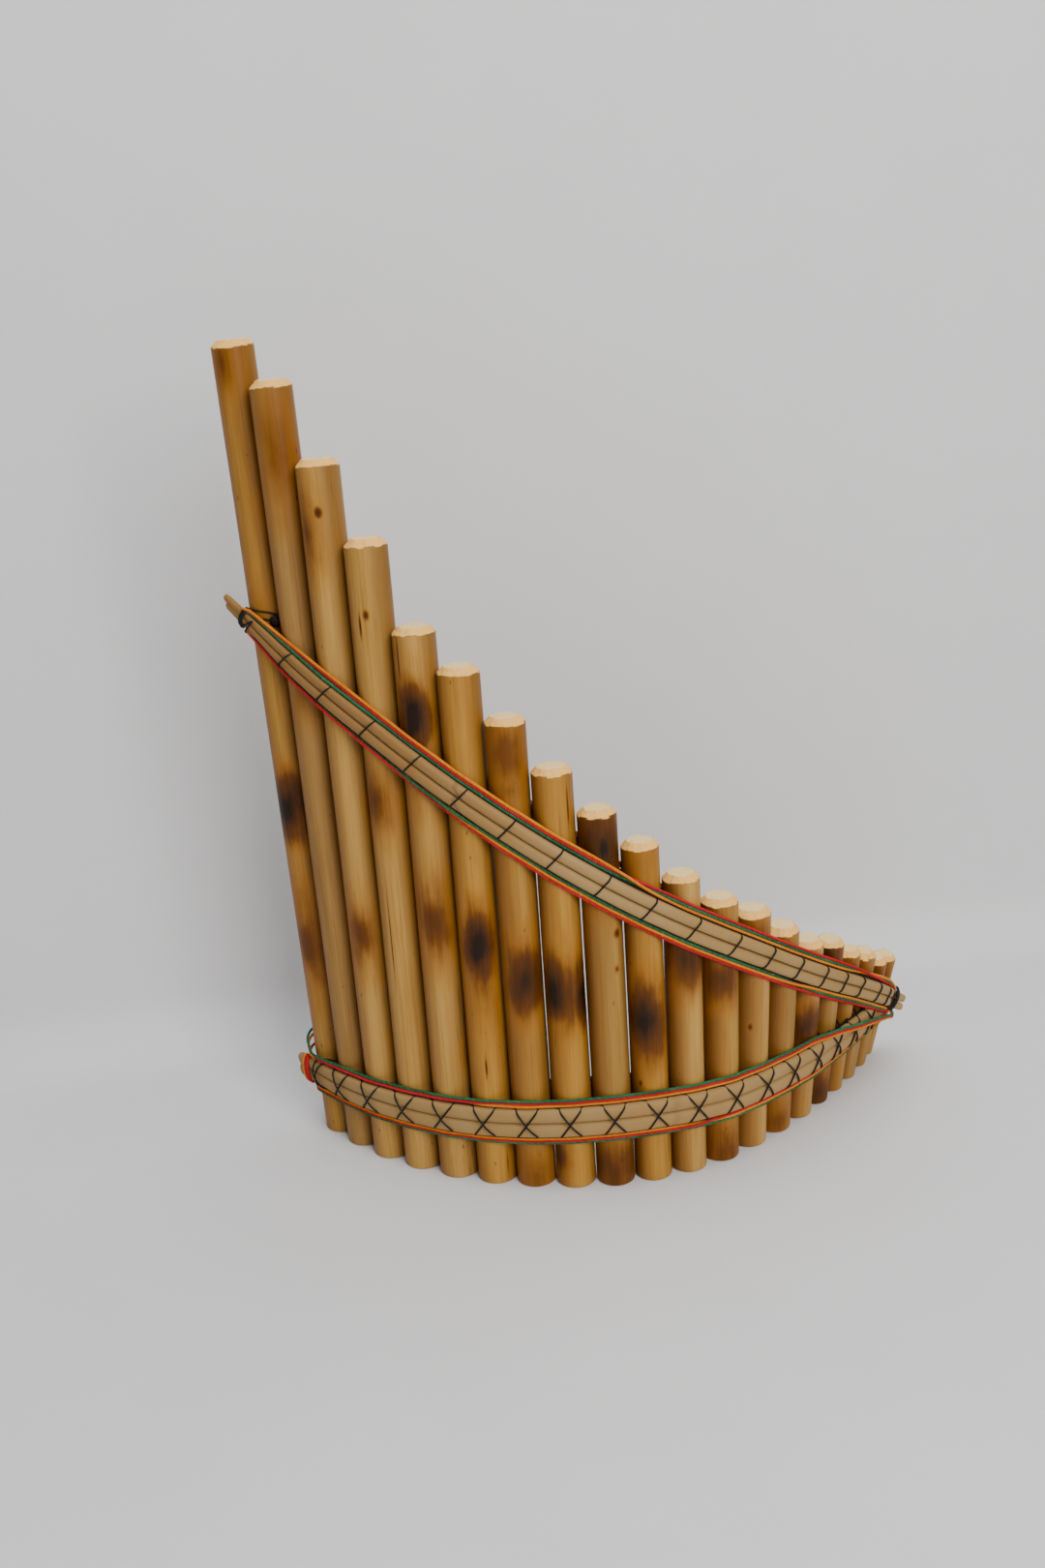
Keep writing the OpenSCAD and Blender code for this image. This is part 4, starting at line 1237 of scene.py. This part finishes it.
# ---- floor, light and camera

studio = {
    "floor": (0.74, 0.74, 0.75, 1),
    "wallAt": 0.14,  # where the floor turns up into the backdrop, behind the flute
    "bend": 0.03,
    "keyPower": 20,
    "fillPower": 1.5,
    "topPower": 13,
    "air": 0.1,
}


def makeSweep():
    profile = [(-4, 0), (studio["wallAt"] - studio["bend"], 0)]
    for k in range(1, 9):
        angle = math.pi / 2 * k / 8
        profile.append((studio["wallAt"] - studio["bend"] + studio["bend"] * math.sin(angle),
                        studio["bend"] * (1 - math.cos(angle))))
    profile.append((studio["wallAt"], 3))
    points = [(x, y, z - 0.0002) for y, z in profile for x in (-4, 4)]
    faces = [(2 * k, 2 * k + 1, 2 * k + 3, 2 * k + 2) for k in range(len(profile) - 1)]
    mesh = bpy.data.meshes.new("studioSweep")
    mesh.from_pydata(points, [], faces)
    mesh.shade_smooth()
    material, tree, shader = newMaterial("palePaper")
    mottle = noise(tree, add(tree, "ShaderNodeTexCoord").outputs["Object"], 4, 0.6, 14.0)
    feed(tree, blend(tree, mottle, studio["floor"], tuple(c * 0.93 for c in studio["floor"][:3]) + (1,)),
         shader.inputs["Base Color"])
    shader.inputs["Roughness"].default_value = 0.75
    # the backdrop doesn't hide the flute from behind
    behind = add(tree, "ShaderNodeNewGeometry").outputs["Backfacing"]
    feed(tree, calc(tree, "SUBTRACT", 1.0, behind), shader.inputs["Alpha"])
    mesh.materials.append(material)
    sweep = bpy.data.objects.new("studioSweep", mesh)
    bpy.context.scene.collection.objects.link(sweep)


def areaLight(name, spot, aim, size, power, colour):
    lamp = bpy.data.lights.new(name, "AREA")
    lamp.shape = "RECTANGLE"
    lamp.size, lamp.size_y = size
    lamp.energy = power
    lamp.color = colour
    light = bpy.data.objects.new(name, lamp)
    bpy.context.scene.collection.objects.link(light)
    light.location = spot
    light.rotation_euler = (Vector(aim) - Vector(spot)).to_track_quat("-Z", "Y").to_euler()


def makeCamera():
    # yaw, pitch and roll in degrees; looks slightly down at the convex side
    view = {"spot": (-0.1184, -0.5905, 0.3475), "yaw": 8.1, "pitch": 17.16, "roll": -3.97, "lens": 35}
    yaw, pitch, roll = (math.radians(view[k]) for k in ("yaw", "pitch", "roll"))
    ahead = Vector((math.sin(yaw) * math.cos(pitch), math.cos(yaw) * math.cos(pitch), -math.sin(pitch)))
    level = Vector((math.cos(yaw), -math.sin(yaw), 0))
    upright = level.cross(ahead)
    right = level * math.cos(roll) + upright * math.sin(roll)
    up = upright * math.cos(roll) - level * math.sin(roll)
    data = bpy.data.cameras.new("camera")
    data.lens = view["lens"]
    data.sensor_width = 36
    data.clip_start = 0.01
    camera = bpy.data.objects.new("camera", data)
    camera.matrix_world = Matrix((right, up, -ahead)).transposed().to_4x4()
    camera.location = view["spot"]
    bpy.context.scene.collection.objects.link(camera)
    bpy.context.scene.camera = camera


makeSweep()
areaLight("keyLight", (0.35, -1.25, 0.85), (0, 0, 0.12), (0.8, 0.8), studio["keyPower"], (1, 0.97, 0.93))
areaLight("fillLight", (-1.1, -0.7, 0.6), (0, 0, 0.12), (1.2, 1.0), studio["fillPower"], (0.93, 0.96, 1))
areaLight("topLight", (-0.1, -0.1, 1.4), (0, 0, 0.1), (1.2, 0.8), studio["topPower"], (1, 1, 1))
world = bpy.data.worlds.new("studioAir")
world.use_nodes = True
world.node_tree.nodes["Background"].inputs["Color"].default_value = (0.92, 0.95, 1, 1)
world.node_tree.nodes["Background"].inputs["Strength"].default_value = studio["air"]
bpy.context.scene.world = world
makeCamera()
print("studio set")
